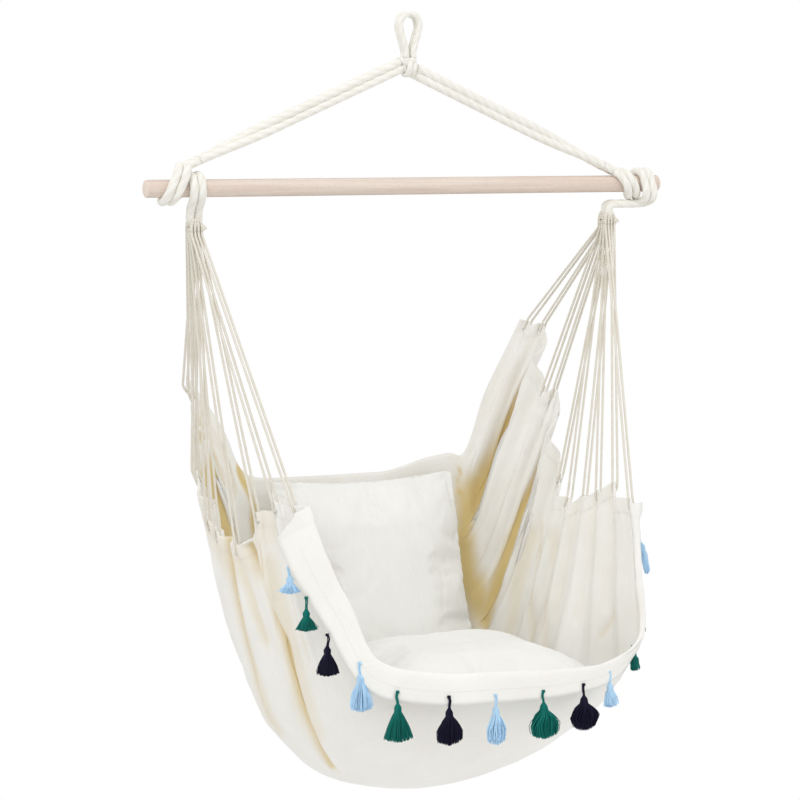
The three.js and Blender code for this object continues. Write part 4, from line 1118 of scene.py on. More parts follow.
        # Even shares of the row count would crowd at the hem rows, so the lean goes by distance
        length = run_along(ridge)
        shares = self.coarse_share(ridge)
        for row, place in enumerate(ridge):
            way = lean.at(shares[row])
            side = smooth((abs(place[0]) / self.half_width - 0.55) / 0.35)
            forward = unit(np.array([np.sign(place[0]) * side * 1.1, -1.0, 0]))
            stand = forward * self.flap_stand * off.at(shares[row])[0]
            ripple = 1 + 0.10 * math.sin(length[row] / (31 * MM)) + 0.08 * math.sin(length[row] / (13 * MM) + 1)
            # It narrows to its two corners
            corner = 0.3 + 0.7 * smooth(min(shares[row], 1 - shares[row]) / 0.18)
            crest = place + stand * 0.85 + way * self.flap_stand * 0.3
            edge = place + stand * 1.1 * ripple + way * self.flap_width * corner
            curve = Spline([before[row], place, crest, edge])
            columns[:, row] = [curve.at(t) for t in steps]
        self.grid = np.concatenate([self.grid, columns])
        self.share = np.concatenate([self.share, np.repeat(self.share[-1:], self.flap_steps, axis=0)])
        self.run = np.concatenate([self.run, np.repeat(self.run[-1:], self.flap_steps, axis=0)])
        self.station = np.concatenate([self.station, 1 + steps * self.flap_stations])

    def coarse_share(self, ridge: np.ndarray) -> np.ndarray:
        """Where along the ridge each row lies, counted in the solid's own eight rows a side."""
        shares = np.array([1, 1, 1, 0.87, 0.70, 0.50, 0.30, 0.11])
        count = 2 * len(shares) - 1
        rows = []
        for j in range(len(ridge)):
            share, run = abs(self.share[-1][j]), self.run[-1][j]
            if run <= self.hem_depth:
                row = run / self.hem_depth
            elif run <= self.hem_depth + self.eyelet_height:
                row = 1 + (run - self.hem_depth) / self.eyelet_height
            else:
                row = float(np.interp(-share, -shares[2:], np.arange(2, len(shares))))
                if share < shares[-1]:
                    row = len(shares) - 1 + 0.5 * (1 - share / shares[-1])
            rows.append(row if self.share[-1][j] <= 0 and ridge[j][0] <= 0 else count - row)
        return np.array(rows) / count

    def wrinkle(self) -> None:
        """Adds the long folds, gathers under the tabs, soft wrinkles and the curl of the back edge."""
        outward = self.normals()
        cols, rows = self.share.shape
        share = np.abs(self.share)
        sign = np.sign(self.share)
        push = np.zeros((cols, rows))
        # Painted golden shade, for the outer face (True) and the inner face (False) of the cloth
        self.painted_fold_shading = {True: np.zeros((cols, rows)), False: np.zeros((cols, rows))}
        for crease in self.creases:
            away = crease.near(self.station[:, None], share, (self.reach * 1.3, self.reach * 1.5))
            same = (sign == crease.side.value) * (self.station[:, None] <= 1)
            way = -1 if crease.outer else 1
            push += way * crease.depth * same * (np.exp(-away ** 2) - 0.25 * np.exp(-(away - 2) ** 2))
            self.painted_fold_shading[crease.outer] = np.maximum(self.painted_fold_shading[crease.outer], crease.painted_fold_shading * np.exp(-away ** 3) * same)
        # Painted golden shadow along the edge of the turned-over hem, on the face that turns to the cloth
        under = smooth((self.station - 1.083) / 0.004)[:, None] * (self.share < 0.1) * smooth((0.62 - share) / 0.2)
        self.painted_fold_shading[True] = np.maximum(self.painted_fold_shading[True], under)
        push += self.soft_wrinkles(share, sign)
        # Under the sitter the cloth is pushed half as far out and never inwards, where the cushion lies
        seat = smooth((0.42 - share) / 0.12) * (np.abs(self.grid[..., 0]) < 0.3)
        push *= 1 - 0.5 * seat
        inward = np.minimum(push, 0) * (1 - seat)
        self.grid = self.grid + outward * (np.maximum(push, 0) + inward)[..., None]
        self.curl_back(share, sign)

    def soft_wrinkles(self, share: np.ndarray, sign: np.ndarray) -> np.ndarray:
        """Unevenness of the cloth: gathers that run down from the hem, and soft and fine wrinkles.

        Args:
            share: the share of the way from keel to hem, by place.
            sign: the side, by place.

        Returns:
            How far each place is pushed out.
        """
        cols, rows = share.shape
        hem = run_along(self.grid[:, 0])
        push = np.zeros((cols, rows))
        for i in range(cols):
            for j in range(rows):
                place = self.grid[i, j]
                gather = smooth((share[i, j] - 0.45) / 0.45) * (self.station[i] < 1)
                line = ruck(hem[i] / (15 * MM), share[i, j] * 1.6, sign[i, j] * 5.3)
                run = ruck(hem[i] / (52 * MM), share[i, j] * 1.3, sign[i, j] * 2.1)
                soft = ruck(place[0] * 9, place[1] * 14, place[2] * 6)
                fine = ruck(place[0] * 30, place[1] * 44, place[2] * 16 + 7)
                slant = ruck((place[0] + place[2]) * 34, (place[1] + place[2]) * 12, 3.3)
                tuck = ruck(hem[i] / (4.5 * MM), self.run[i, j] / (30 * MM), sign[i, j] * 9.1)
                near = smooth((48 * MM - self.run[i, j]) / (26 * MM)) * (self.station[i] < 1)
                push[i, j] = (1.7 * tuck * near + 3.0 * line * gather + 3.2 * run * smooth(share[i, j] / 0.4)
                              + 2.4 * (soft + 0.5) + 1.0 * (fine + 0.4) + 1.3 * slant) * MM
        return push

    def curl_back(self, share: np.ndarray, sign: np.ndarray) -> None:
        """Lifts the back edge where it curls up at the right.

        Args:
            share: the share of the way from keel to hem, by place.
            sign: the side, by place.
        """
        rise = smooth((share - 0.10) / 0.29) * smooth((0.545 - share) / 0.12) * (sign > 0)
        fade = smooth((0.045 - self.station) / 0.045)[:, None]
        self.grid[..., 2] += self.back_curl_rise * rise * fade
        self.grid[..., 1] -= self.back_curl_reach * rise * fade

    def normals(self) -> np.ndarray:
        """The directions out of the seat at each place of the grid."""
        down = np.gradient(self.grid, axis=1)
        forward = np.gradient(self.grid, axis=0)
        return unit(np.cross(down, forward))

    def holes(self) -> np.ndarray:
        """Which cells of the grid the eyelets leave open."""
        station = (self.station[1:] + self.station[:-1]) / 2
        run = (self.run[1:, :] + self.run[:-1, :]) / 2
        run = (run[:, 1:] + run[:, :-1]) / 2
        open_cells = np.zeros(run.shape, bool)
        middle = self.hem_depth + self.eyelet_height / 2
        for tab in TAB_STATION_SHARES:
            across = (station - tab)[:, None] * self.reach / (self.eyelet_width / 2)
            along = (run - middle) / (self.eyelet_height / 2)
            open_cells |= across ** 2 + along ** 2 < 1.05
        return open_cells

    def build(self, finish: bpy.types.Material) -> bpy.types.Object:
        """Makes the sheet with its two faces, edges and eyelets.

        Args:
            finish: the canvas.

        Returns:
            The pouch.
        """
        self.lay_grid()
        self.wrinkle()
        normals = self.normals()
        cols, rows = self.share.shape
        flap_edge = smooth((self.station - 1.075) / 0.004)[:, None]
        hem_band = smooth((self.hem_seam_depth - self.run) / (3 * MM))
        back_band = smooth((0.03 - self.station) / 0.004)[:, None]
        band = np.maximum(np.maximum(flap_edge, hem_band), back_band)
        half = self.half_thickness + (self.hem_half_thickness - self.half_thickness) * band
        skins = [self.grid + normals * half[..., None], self.grid - normals * half[..., None]]
        count = cols * rows
        places = np.concatenate([skin.reshape(-1, 3) for skin in skins])
        cell = np.zeros((cols + 1, rows + 1), bool)
        cell[1:cols, 1:rows] = ~self.holes()
        i, j = np.nonzero(cell[1:cols, 1:rows])
        a = i * rows + j
        b = a + rows
        outer = np.stack([a, a + 1, b + 1, b], axis=1)
        inner = np.stack([a + count, b + count, b + 1 + count, a + 1 + count], axis=1)
        faces = [outer, inner]
        for di, dj, start, end in ((0, -1, a, b), (0, 1, b + 1, a + 1), (-1, 0, a + 1, a), (1, 0, b, b + 1)):
            rim = ~cell[i + 1 + di, j + 1 + dj]
            s, e = start[rim], end[rim]
            faces.append(np.stack([s, e, e + count, s + count], axis=1))
        faces = np.concatenate(faces)
        pouch = make_mesh("gathered_canvas_seat", places, faces)
        across = np.stack([run_along(self.grid[:, row]) for row in range(rows)], axis=1)
        along = np.stack([run_along(line) for line in self.grid])
        lie = np.stack([across, along], axis=-1).reshape(-1, 2)
        give_uv(pouch, np.concatenate([lie, lie])[faces.ravel()])
        # Each vertex carries its painted golden shade, the outer skin's first
        give_attribute(pouch, "painted_fold_shading", np.concatenate([self.painted_fold_shading[True].ravel(), self.painted_fold_shading[False].ravel()]))
        self.area = float(np.sum(np.linalg.norm(np.cross(
            self.grid[1:, :-1] - self.grid[:-1, :-1], self.grid[:-1, 1:] - self.grid[:-1, :-1]), axis=2)))
        self.outward = normals
        return settle(pouch, "seat", finish, ("seat_cloth",))


@dataclass
class Stitching:
    """Thread in the pouch: rows of stitches under its hems and a whipped rim round each eyelet."""

    pouch: Pouch
    pitch: float = 4.5 * MM
    length: float = 3.1 * MM
    radius: float = 0.55 * MM

    def stitch(self, start: np.ndarray, way: np.ndarray, out: np.ndarray) -> tuple[np.ndarray, list]:
        """One stitch: a low loaf of thread with pointed ends.

        Args:
            start: its middle.
            way: the direction that it runs in.
            out: the direction out of the cloth.

        Returns:
            Its vertices and faces.
        """
        wide = np.cross(way, out)
        places = [start - way * self.length / 2]
        for share, size in ((-0.3, 0.9), (0.3, 0.9)):
            for degrees in (0, 90, 180, 270):
                angle = math.radians(degrees)
                places.append(start + way * self.length * share + size * self.radius * (
                    wide * math.cos(angle) + out * math.sin(angle)))
        places.append(start + way * self.length / 2)
        faces = [[0, 1 + (k + 1) % 4, 1 + k] for k in range(4)]
        faces += [[1 + k, 1 + (k + 1) % 4, 5 + (k + 1) % 4, 5 + k] for k in range(4)]
        faces += [[9, 5 + k, 5 + (k + 1) % 4] for k in range(4)]
        return np.array(places), faces

    def row(self, line: np.ndarray, outs: np.ndarray) -> tuple[np.ndarray, list]:
        """A row of stitches along a line on the cloth.

        Args:
            line: the places that it follows.
            outs: the direction out of the cloth at each.

        Returns:
            The vertices and faces of all its stitches.
        """
        run = run_along(line)
        places, faces = [], []
        for at in np.arange(self.pitch, run[-1] - self.pitch, self.pitch):
            middle = places_at(at, run, line)
            out = unit(places_at(at, run, outs))
            way = unit(places_at(at + 0.5 * MM, run, line) - middle)
            made, drawn = self.stitch(middle, way, unit(out - way * np.dot(out, way)))
            base = sum(len(p) for p in places)
            places.append(made)
            faces += [[base + v for v in face] for face in drawn]
        return np.concatenate(places), faces

    def build(self, finish: bpy.types.Material) -> bpy.types.Object:
        """Sews the hems and whips the eyelets.

        Args:
            finish: the thread's material.

        Returns:
            All the thread as one piece.
        """
        pouch = self.pouch
        grid, outs = pouch.grid, pouch.outward
        ridge = len(pouch.stations()) - 1
        row = int(np.argmin(np.abs(pouch.hem_rows - pouch.hem_seam_depth)))
        band = pouch.hem_half_thickness
        lines = [(grid[:ridge, row], outs[:ridge, row]), (grid[:ridge, -1 - row], outs[:ridge, -1 - row]),
                 (grid[-4, 12:-12], outs[-4, 12:-12]), (grid[7, 14:-14], outs[7, 14:-14])]
        pieces = []
        for line, out in lines:
            for face in (1, -1):
                made, drawn = self.row(line + out * band * face * 0.97, out * face)
                pieces.append(make_mesh("stitches", made, drawn))
        rim = Laid(0.9 * MM, 3 * MM, sides=6, steps_per_turn=3)
        for tab in TAB_STATION_SHARES:
            column = int(np.argmin(np.abs(pouch.station - tab)))
            for middle_row in (6, grid.shape[1] - 7):
                middle = grid[column, middle_row]
                rise = unit(grid[column, middle_row - 2] - grid[column, middle_row + 2])
                out = outs[column, middle_row]
                wide = np.cross(rise, out)
                for face in (1, -1):
                    ring = [middle + out * face * band + wide * math.cos(a) * pouch.eyelet_width * 0.56
                            + rise * math.sin(a) * pouch.eyelet_height * 0.56
                            for a in np.linspace(0, TURN, 17)]
                    pieces.append(rim.tube("whipping", np.array(ring)))
        thread = join("hem_stitching", pieces)
        return settle(thread, "seat", finish)


@dataclass
class SeatCords:
    """The cord heads under the wraps and the hairpins of cord that hold up the pouch."""

    ropes: Suspension
    pouch: Pouch
    cord: Laid = Laid(2.4 * MM, 17 * MM, groove_share=0.2, sides=9, steps_per_turn=6)
    whipping: Laid = Laid(1.9 * MM, 12 * MM, groove_share=0.2, sides=9, steps_per_turn=6)
    spacing: float = 4.6 * MM
    bundle_share: float = 1.35
    lead: float = 5 * MM
    skirt_drop: float = 13.5 * MM
    bend_steps: int = 6
    whip_turns: float = 2.2
    whip_reach: tuple = (13.2 * MM, 11.8 * MM)
    whip_rise: float = 3.2 * MM
    whip_pitch: float = 3.4 * MM

    @property
    def foot(self) -> float:
        """Height of the tops of the seat cords."""
        return -self.ropes.head_pivot_drop - self.skirt_drop - self.ropes.clearance

    def tops(self, side: Side, tab: int) -> tuple[np.ndarray, np.ndarray]:
        """Where the inner and outer run of a hairpin leave the head."""
        tabs = self.pouch.halves[0 if side is Side.LEFT else 1].tabs
        twin = tab + 1 if tab % 2 == 0 else tab - 1
        mine, other = abs(tabs[tab][0]), abs(tabs[twin][0])
        inner = mine < other or (mine == other and tab < twin)
        rank = tab // 2 - 2
        step = self.spacing * self.bundle_share
        first = (-1.5 if inner else 0.5) * step * side.value
        place = np.array([side.value * self.ropes.head_x + first, -rank * step, self.foot])
        return place, place + np.array([step * side.value, 0, 0])

    def build_hairpin(self, side: Side, tab: int, finish: bpy.types.Material) -> None:
        """Makes one cord, from the head through its eyelet round the hem and back up.

        Args:
            side: the side of the seat.
            tab: the number of its tab, from the back.
            finish: the cord's material.
        """
        pouch = self.pouch
        column = int(np.argmin(np.abs(pouch.station - TAB_STATION_SHARES[tab])))
        hem_row, lip_row = (0, 4) if side is Side.LEFT else (-1, -5)
        lip = pouch.grid[column, lip_row]
        rise = unit(pouch.grid[column, hem_row] - lip)
        out = pouch.outward[column, lip_row]
        out = out if out[0] * side.value > 0 else -out
        out = unit(out - rise * np.dot(out, rise))
        offset = pouch.hem_half_thickness + self.cord.radius + 0.2 * MM
        beyond = pouch.hem_depth + 2 * self.cord.radius
        inner_top, outer_top = self.tops(side, tab)
        down = np.array([0, 0, -self.lead])
        route = [inner_top, inner_top + down, lip - out * offset + rise * beyond, lip - out * offset]
        for k in range(1, self.bend_steps):
            angle = k / self.bend_steps * math.pi
            route.append(lip - out * offset * math.cos(angle) - rise * offset * math.sin(angle))
        route += [lip + out * offset, lip + out * offset + rise * beyond, outer_top + down, outer_top]
        points = self.soften(np.array(route))
        cord = self.cord.tube(f"{side.word}_hanging_cord_{tab + 1:02d}", points, phase=tab, rounded=False)
        settle(cord, "seat", finish, (f"{side.word}_cord_{tab + 1:02d}",))

    def soften(self, route: np.ndarray) -> np.ndarray:
        """Even points along straight runs and a round bend, without a spline's overshoot.

        Args:
            route: the corners of the route.

        Returns:
            Points a sixth of the lay apart.
        """
        run = run_along(route)
        want = np.linspace(0, run[-1], int(run[-1] / (self.cord.lay / self.cord.steps_per_turn)))
        points = places_at(want, run, route)
        for _ in range(2):
            points[1:-1] = (points[:-2] + 2 * points[1:-1] + points[2:]) / 4
        return points

    def build_head(self, side: Side, finish: bpy.types.Material) -> None:
        """Makes one head: the bunched cord ends, whipped round, with a tuft of cut ends.

        Args:
            side: the end of the bar.
            finish: the cord's material.
        """
        centre = np.array([side.value * self.ropes.head_x, 0, -self.ropes.head_pivot_drop])
        pieces = []
        for tab in range(len(TAB_STATION_SHARES)):
            for number, top in enumerate(self.tops(side, tab)):
                flat = (top - centre) * np.array([1, 1, 0])
                front = math.copysign(max(abs(flat[1]), 8.2 * MM), flat[1] or (number - 0.5))
                route = [top, centre + flat * 1.02 + np.array([0, 0, -8 * MM]),
                         centre + np.array([flat[0] * 0.95, front, -2 * MM]),
                         centre + np.array([flat[0] * 0.80, front, 4 * MM]),
                         centre + np.array([flat[0] * 0.60, front * 0.8, 8.5 * MM])]
                pieces.append(self.cord.along(f"bunched_{tab}_{number}", route, tab + number, rounded=False))
        turns = []
        for degrees in np.arange(0, 360 * self.whip_turns, 20):
            angle = math.radians(degrees)
            turns.append(centre + np.array([self.whip_reach[0] * math.cos(angle), self.whip_reach[1] * math.sin(angle),
                                            self.whip_rise - self.whip_pitch * degrees / 360]))
        pieces.append(self.whipping.along("whipping", turns))
        for k, (sideways, length) in enumerate(((0.6, 13), (0.95, 11), (0.3, 15), (0.75, 9))):
            start = centre + np.array([7 * MM, -11 * MM, 0])
            tip = start + np.array([sideways, -0.35, -0.8]) * length * MM
            middle = (start + tip) / 2 + np.array([0, 0, 1.5 * MM])
            pieces.append(self.whipping.along(f"tuft_{k}", [start, middle, tip], phase=k))
        head = join(f"{side.word}_whipped_head", pieces)
        settle(head, "seat", finish, (f"{side.word}_cord_head",))

    def build(self, finish: bpy.types.Material) -> None:
        """Makes both heads and all the hairpins."""
        for side in Side:
            self.build_head(side, finish)
            for tab in range(len(TAB_STATION_SHARES)):
                self.build_hairpin(side, tab, finish)


@dataclass
class Cushion:
    """A loose cushion: a sewn cover over soft filling, blown up by a cloth simulation in its own place."""

    name: str
    node: str
    body: str
    width: float
    depth: float
    centre: tuple[float, float]
    draw_in: float = 14 * MM
    corner_share: float = 0.0
    voxel: float = 6 * MM
    shrink: float = 7 * MM
    pressure: float = 4.0
    free_growth: float = 6 * MM
    snug_growth: float = 0.3 * MM
    seam_radius: float = 1.5 * MM
    upright: bool = False
    skew: float = 0.0
    fill: float = 0.7

    def rim(self, solid: np.ndarray) -> np.ndarray:
        """The places of the solid on the seam, found by the outline that they lie on.

        Args:
            solid: the solid's vertices.

        Returns:
            The seam's places in order.
        """
        steps = -np.cos(np.linspace(0, math.pi, 15))
        outline = [(u, -1.0) for u in steps[:-1]] + [(1.0, w) for w in steps[:-1]]
        outline += [(-u, 1.0) for u in steps[:-1]] + [(-1.0, -w) for w in steps[:-1]]
        second = solid[:, 2] if self.upright else solid[:, 1]
        low, high = second.min(), second.max()
        middle = (low + high) / 2 if self.upright else self.centre[1]
        places = []
        for u, w in outline:
            rounding = 1 - self.corner_share * u * u * w * w
            x = self.centre[0] + u * rounding * (self.width / 2 - self.draw_in * (1 - w * w))
            y = middle + w * rounding * ((high - low if self.upright else self.depth) / 2
                                         - self.draw_in * (1 - u * u))
            places.append(solid[int(np.argmin((solid[:, 0] - x) ** 2 + (second - y) ** 2))])
        return np.array(places)

    def copy_solid(self) -> bpy.types.Object:
        """A merged copy of the solid, to be worked on."""
        node = frame["nodes"][self.node]
        mesh = node.data.copy()
        piece = bpy.data.objects.new(self.name, mesh)
        bpy.context.scene.collection.objects.link(piece)
        mesh.materials.clear()
        select_only(piece)
        bpy.ops.object.mode_set(mode="EDIT")
        bpy.ops.mesh.select_all(action="SELECT")
        bpy.ops.mesh.remove_doubles(threshold=0.01 * MM)
        bpy.ops.object.mode_set(mode="OBJECT")
        return piece

    def soften(self, piece: bpy.types.Object) -> None:
        """Remeshes the copy evenly and rounds off its facets."""
        select_only(piece)
        remesh = piece.modifiers.new("even", "REMESH")
        remesh.mode = "VOXEL"
        remesh.voxel_size = self.voxel
        ease = piece.modifiers.new("ease", "SMOOTH")
        ease.factor = 0.5
        ease.iterations = 6
        apply_modifiers(piece)

    def fill_out(self, piece: bpy.types.Object, seam: np.ndarray) -> None:
        """Blows the cover up against its held seam, so that it wrinkles along it.

        Args:
            piece: the remeshed copy.
            seam: places along the seam.
        """
        places = self.places(piece)
        normals = np.array([v.normal for v in piece.data.vertices])
        away = np.min(np.linalg.norm(places[:, None, :] - seam[None, :, :], axis=2), axis=1)
        inset = self.shrink * smooth((away - 4 * MM) / (20 * MM))
        self.put(piece, places - normals * inset[:, None])
        held = piece.vertex_groups.new(name="seam")
        for index in np.nonzero(away < 5 * MM)[0]:
            held.add([int(index)], 1.0, "REPLACE")
        cloth = piece.modifiers.new("cover", "CLOTH")
        settings = cloth.settings
        settings.quality = 6
        settings.mass = 0.3
        settings.tension_stiffness = 12
        settings.compression_stiffness = 12
        settings.shear_stiffness = 6
        settings.bending_stiffness = 0.35
        settings.use_pressure = True
        settings.uniform_pressure_force = self.pressure
        settings.shrink_min = -0.035
        settings.vertex_group_mass = "seam"
        settings.effector_weights.gravity = 0
        cloth.collision_settings.use_collision = False
        scene = bpy.context.scene
        for number in range(1, 21):
            scene.frame_set(number)
        apply_modifiers(piece)
        scene.frame_set(1)
        piece.vertex_groups.clear()

    @staticmethod
    def places(piece: bpy.types.Object) -> np.ndarray:
        """The vertices of a piece."""
        flat = np.zeros(len(piece.data.vertices) * 3)
        piece.data.vertices.foreach_get("co", flat)
        return flat.reshape(-1, 3)

    @staticmethod
    def put(piece: bpy.types.Object, places: np.ndarray) -> None:
        """Moves the vertices of a piece."""
        piece.data.vertices.foreach_set("co", places.ravel())
        piece.data.update()

    def hold_in(self, piece: bpy.types.Object) -> None:
        """Keeps the cover within its own space: snug where it rests and a little proud where it is free."""
        tree = surface_of(frame["nodes"][self.node])
        places = self.places(piece)
        for index, place in enumerate(places):
            near, normal, _, distance = tree.find_nearest(Vector(place))
            outside = (Vector(place) - near).dot(normal) > 0
            free = (normal.y < -0.35 or normal.z > 0.5) if self.upright else (normal.z > 0.25 or normal.y < -0.75)
            limit = self.free_growth if free else self.snug_growth
            if outside and distance > limit:
                places[index] = np.array(near + (Vector(place) - near).normalized() * limit)
        self.put(piece, places)

    def pucker(self, piece: bpy.types.Object, seam: np.ndarray) -> None:
        """Draws the cover in along its seam and puckers it, with a few broad dents in its faces.

        Args:
            piece: the cover.
            seam: close places along the seam.
        """
        places = self.places(piece)
        normals = np.array([v.normal for v in piece.data.vertices])
        push = np.zeros(len(places))
        chunk = 4000
        for start in range(0, len(places), chunk):
            part = places[start:start + chunk]
            gaps = np.linalg.norm(part[:, None, :] - seam[None, :, :], axis=2)
            nearest = np.argmin(gaps, axis=1)
            away = gaps[np.arange(len(part)), nearest]
            along = nearest * 4 * MM
            wave = 0.5 + 0.5 * np.sin(along / (3.4 * MM) + 2 * np.sin(along / (19 * MM)))
            push[start:start + chunk] = (-2.2 * MM * np.exp(-(away / (3.5 * MM)) ** 2)
                                         - 1.5 * MM * wave * np.exp(-(away / (16 * MM)) ** 2))
        for index, place in enumerate(places):
            dent = noise.noise(Vector(place) * 11 + Vector((self.width * 9, 3, 0)))
            crease = abs(ruck(place[0] * 15, place[1] * 15, place[2] * 9 + 4))
            push[index] -= 1.6 * MM * (dent + 0.5) + 1.4 * MM * max(0, 0.16 - crease) / 0.16
        self.put(piece, places + normals * push[:, None])

    def build(self, finish: bpy.types.Material) -> bpy.types.Object:
        """Makes the cushion with its seam.

        Args:
            finish: its cover's material.

        Returns:
            The cover.
        """
        piece = self.copy_solid()
        rim = self.rim(self.places(piece))
        loop = np.concatenate([rim, rim[:1]])
        seam = Spline(loop).even(4 * MM)
        self.soften(piece)
        self.fill_out(piece, seam)
        self.hold_in(piece)
        finer = piece.modifiers.new("finer", "SUBSURF")
        finer.levels = finer.render_levels = 1
        apply_modifiers(piece)
        self.pucker(piece, seam)
        seam = self.lean(piece, seam)
        piece.data.polygons.foreach_set("use_smooth", [True] * len(piece.data.polygons))
        self.lay_uv(piece)
        settle(piece, self.body, finish, (self.node,))
        self.build_seam(piece, seam, finish)
        return piece

    def lean(self, piece: bpy.types.Object, seam: np.ndarray) -> np.ndarray:
        """Spreads the cushion's right side at the bottom, where its weight settles.

        Args:
            piece: the cover.
            seam: close places along the seam.

        Returns:
            The seam's places, moved with the cover.
        """
        places = self.places(piece)
        low, high = places[:, 2].min(), places[:, 2].max()

        def moved(points: np.ndarray) -> np.ndarray:
            """The points with the spread added."""
            share = np.clip((high - points[:, 2]) / (high - low), 0, 1) - 0.45
            share = share * smooth((points[:, 0] + 50 * MM) / (200 * MM))
            return points + np.outer(share * self.skew, (1.0, 0, 0))

        self.put(piece, moved(places))
        return moved(seam)

    def lay_uv(self, piece: bpy.types.Object) -> None:
        """Lays the weave flat on both faces of the cover, in real lengths."""
        places = self.places(piece)
        flat = places[:, (0, 2)] if self.upright else places[:, (0, 1)]
        corners = np.zeros(len(piece.data.loops), int)
        piece.data.loops.foreach_get("vertex_index", corners)
        give_uv(piece, flat[corners])

    def build_seam(self, piece: bpy.types.Object, seam: np.ndarray, finish: bpy.types.Material) -> None:
        """Makes the sewn edge as a narrow rolled welt on the cover.

        Args:
            piece: the cover.
            seam: close places along the seam.
            finish: its material.
        """
        tree = surface_of(piece)
        line = np.array([tree.find_nearest(Vector(place))[0] for place in seam])
        for _ in range(3):
            line = (np.roll(line[:-1], 1, axis=0) + 2 * line[:-1] + np.roll(line[:-1], -1, axis=0)) / 4
            line = np.concatenate([line, line[:1]])
        welt = Laid(self.seam_radius, 8 * MM, strands=2, groove_share=0.12, sides=8)
        edge = welt.tube(f"{self.name}_seam", line)
        settle(edge, self.body, finish)


@dataclass(frozen=True)
class TasselLook:
    """How one tassel differs from the next.

    Its width and length are shares of the usual ones, its belly goes from 0 for a cone to 1 for a ball, and
    its thread's length is a share too.
    """

    width_share: float
    fluff: float = 1.0
    strays: int = 3
    length_share: float = 1.0
    belly: float = 0.3
    thread_share: float = 1.0


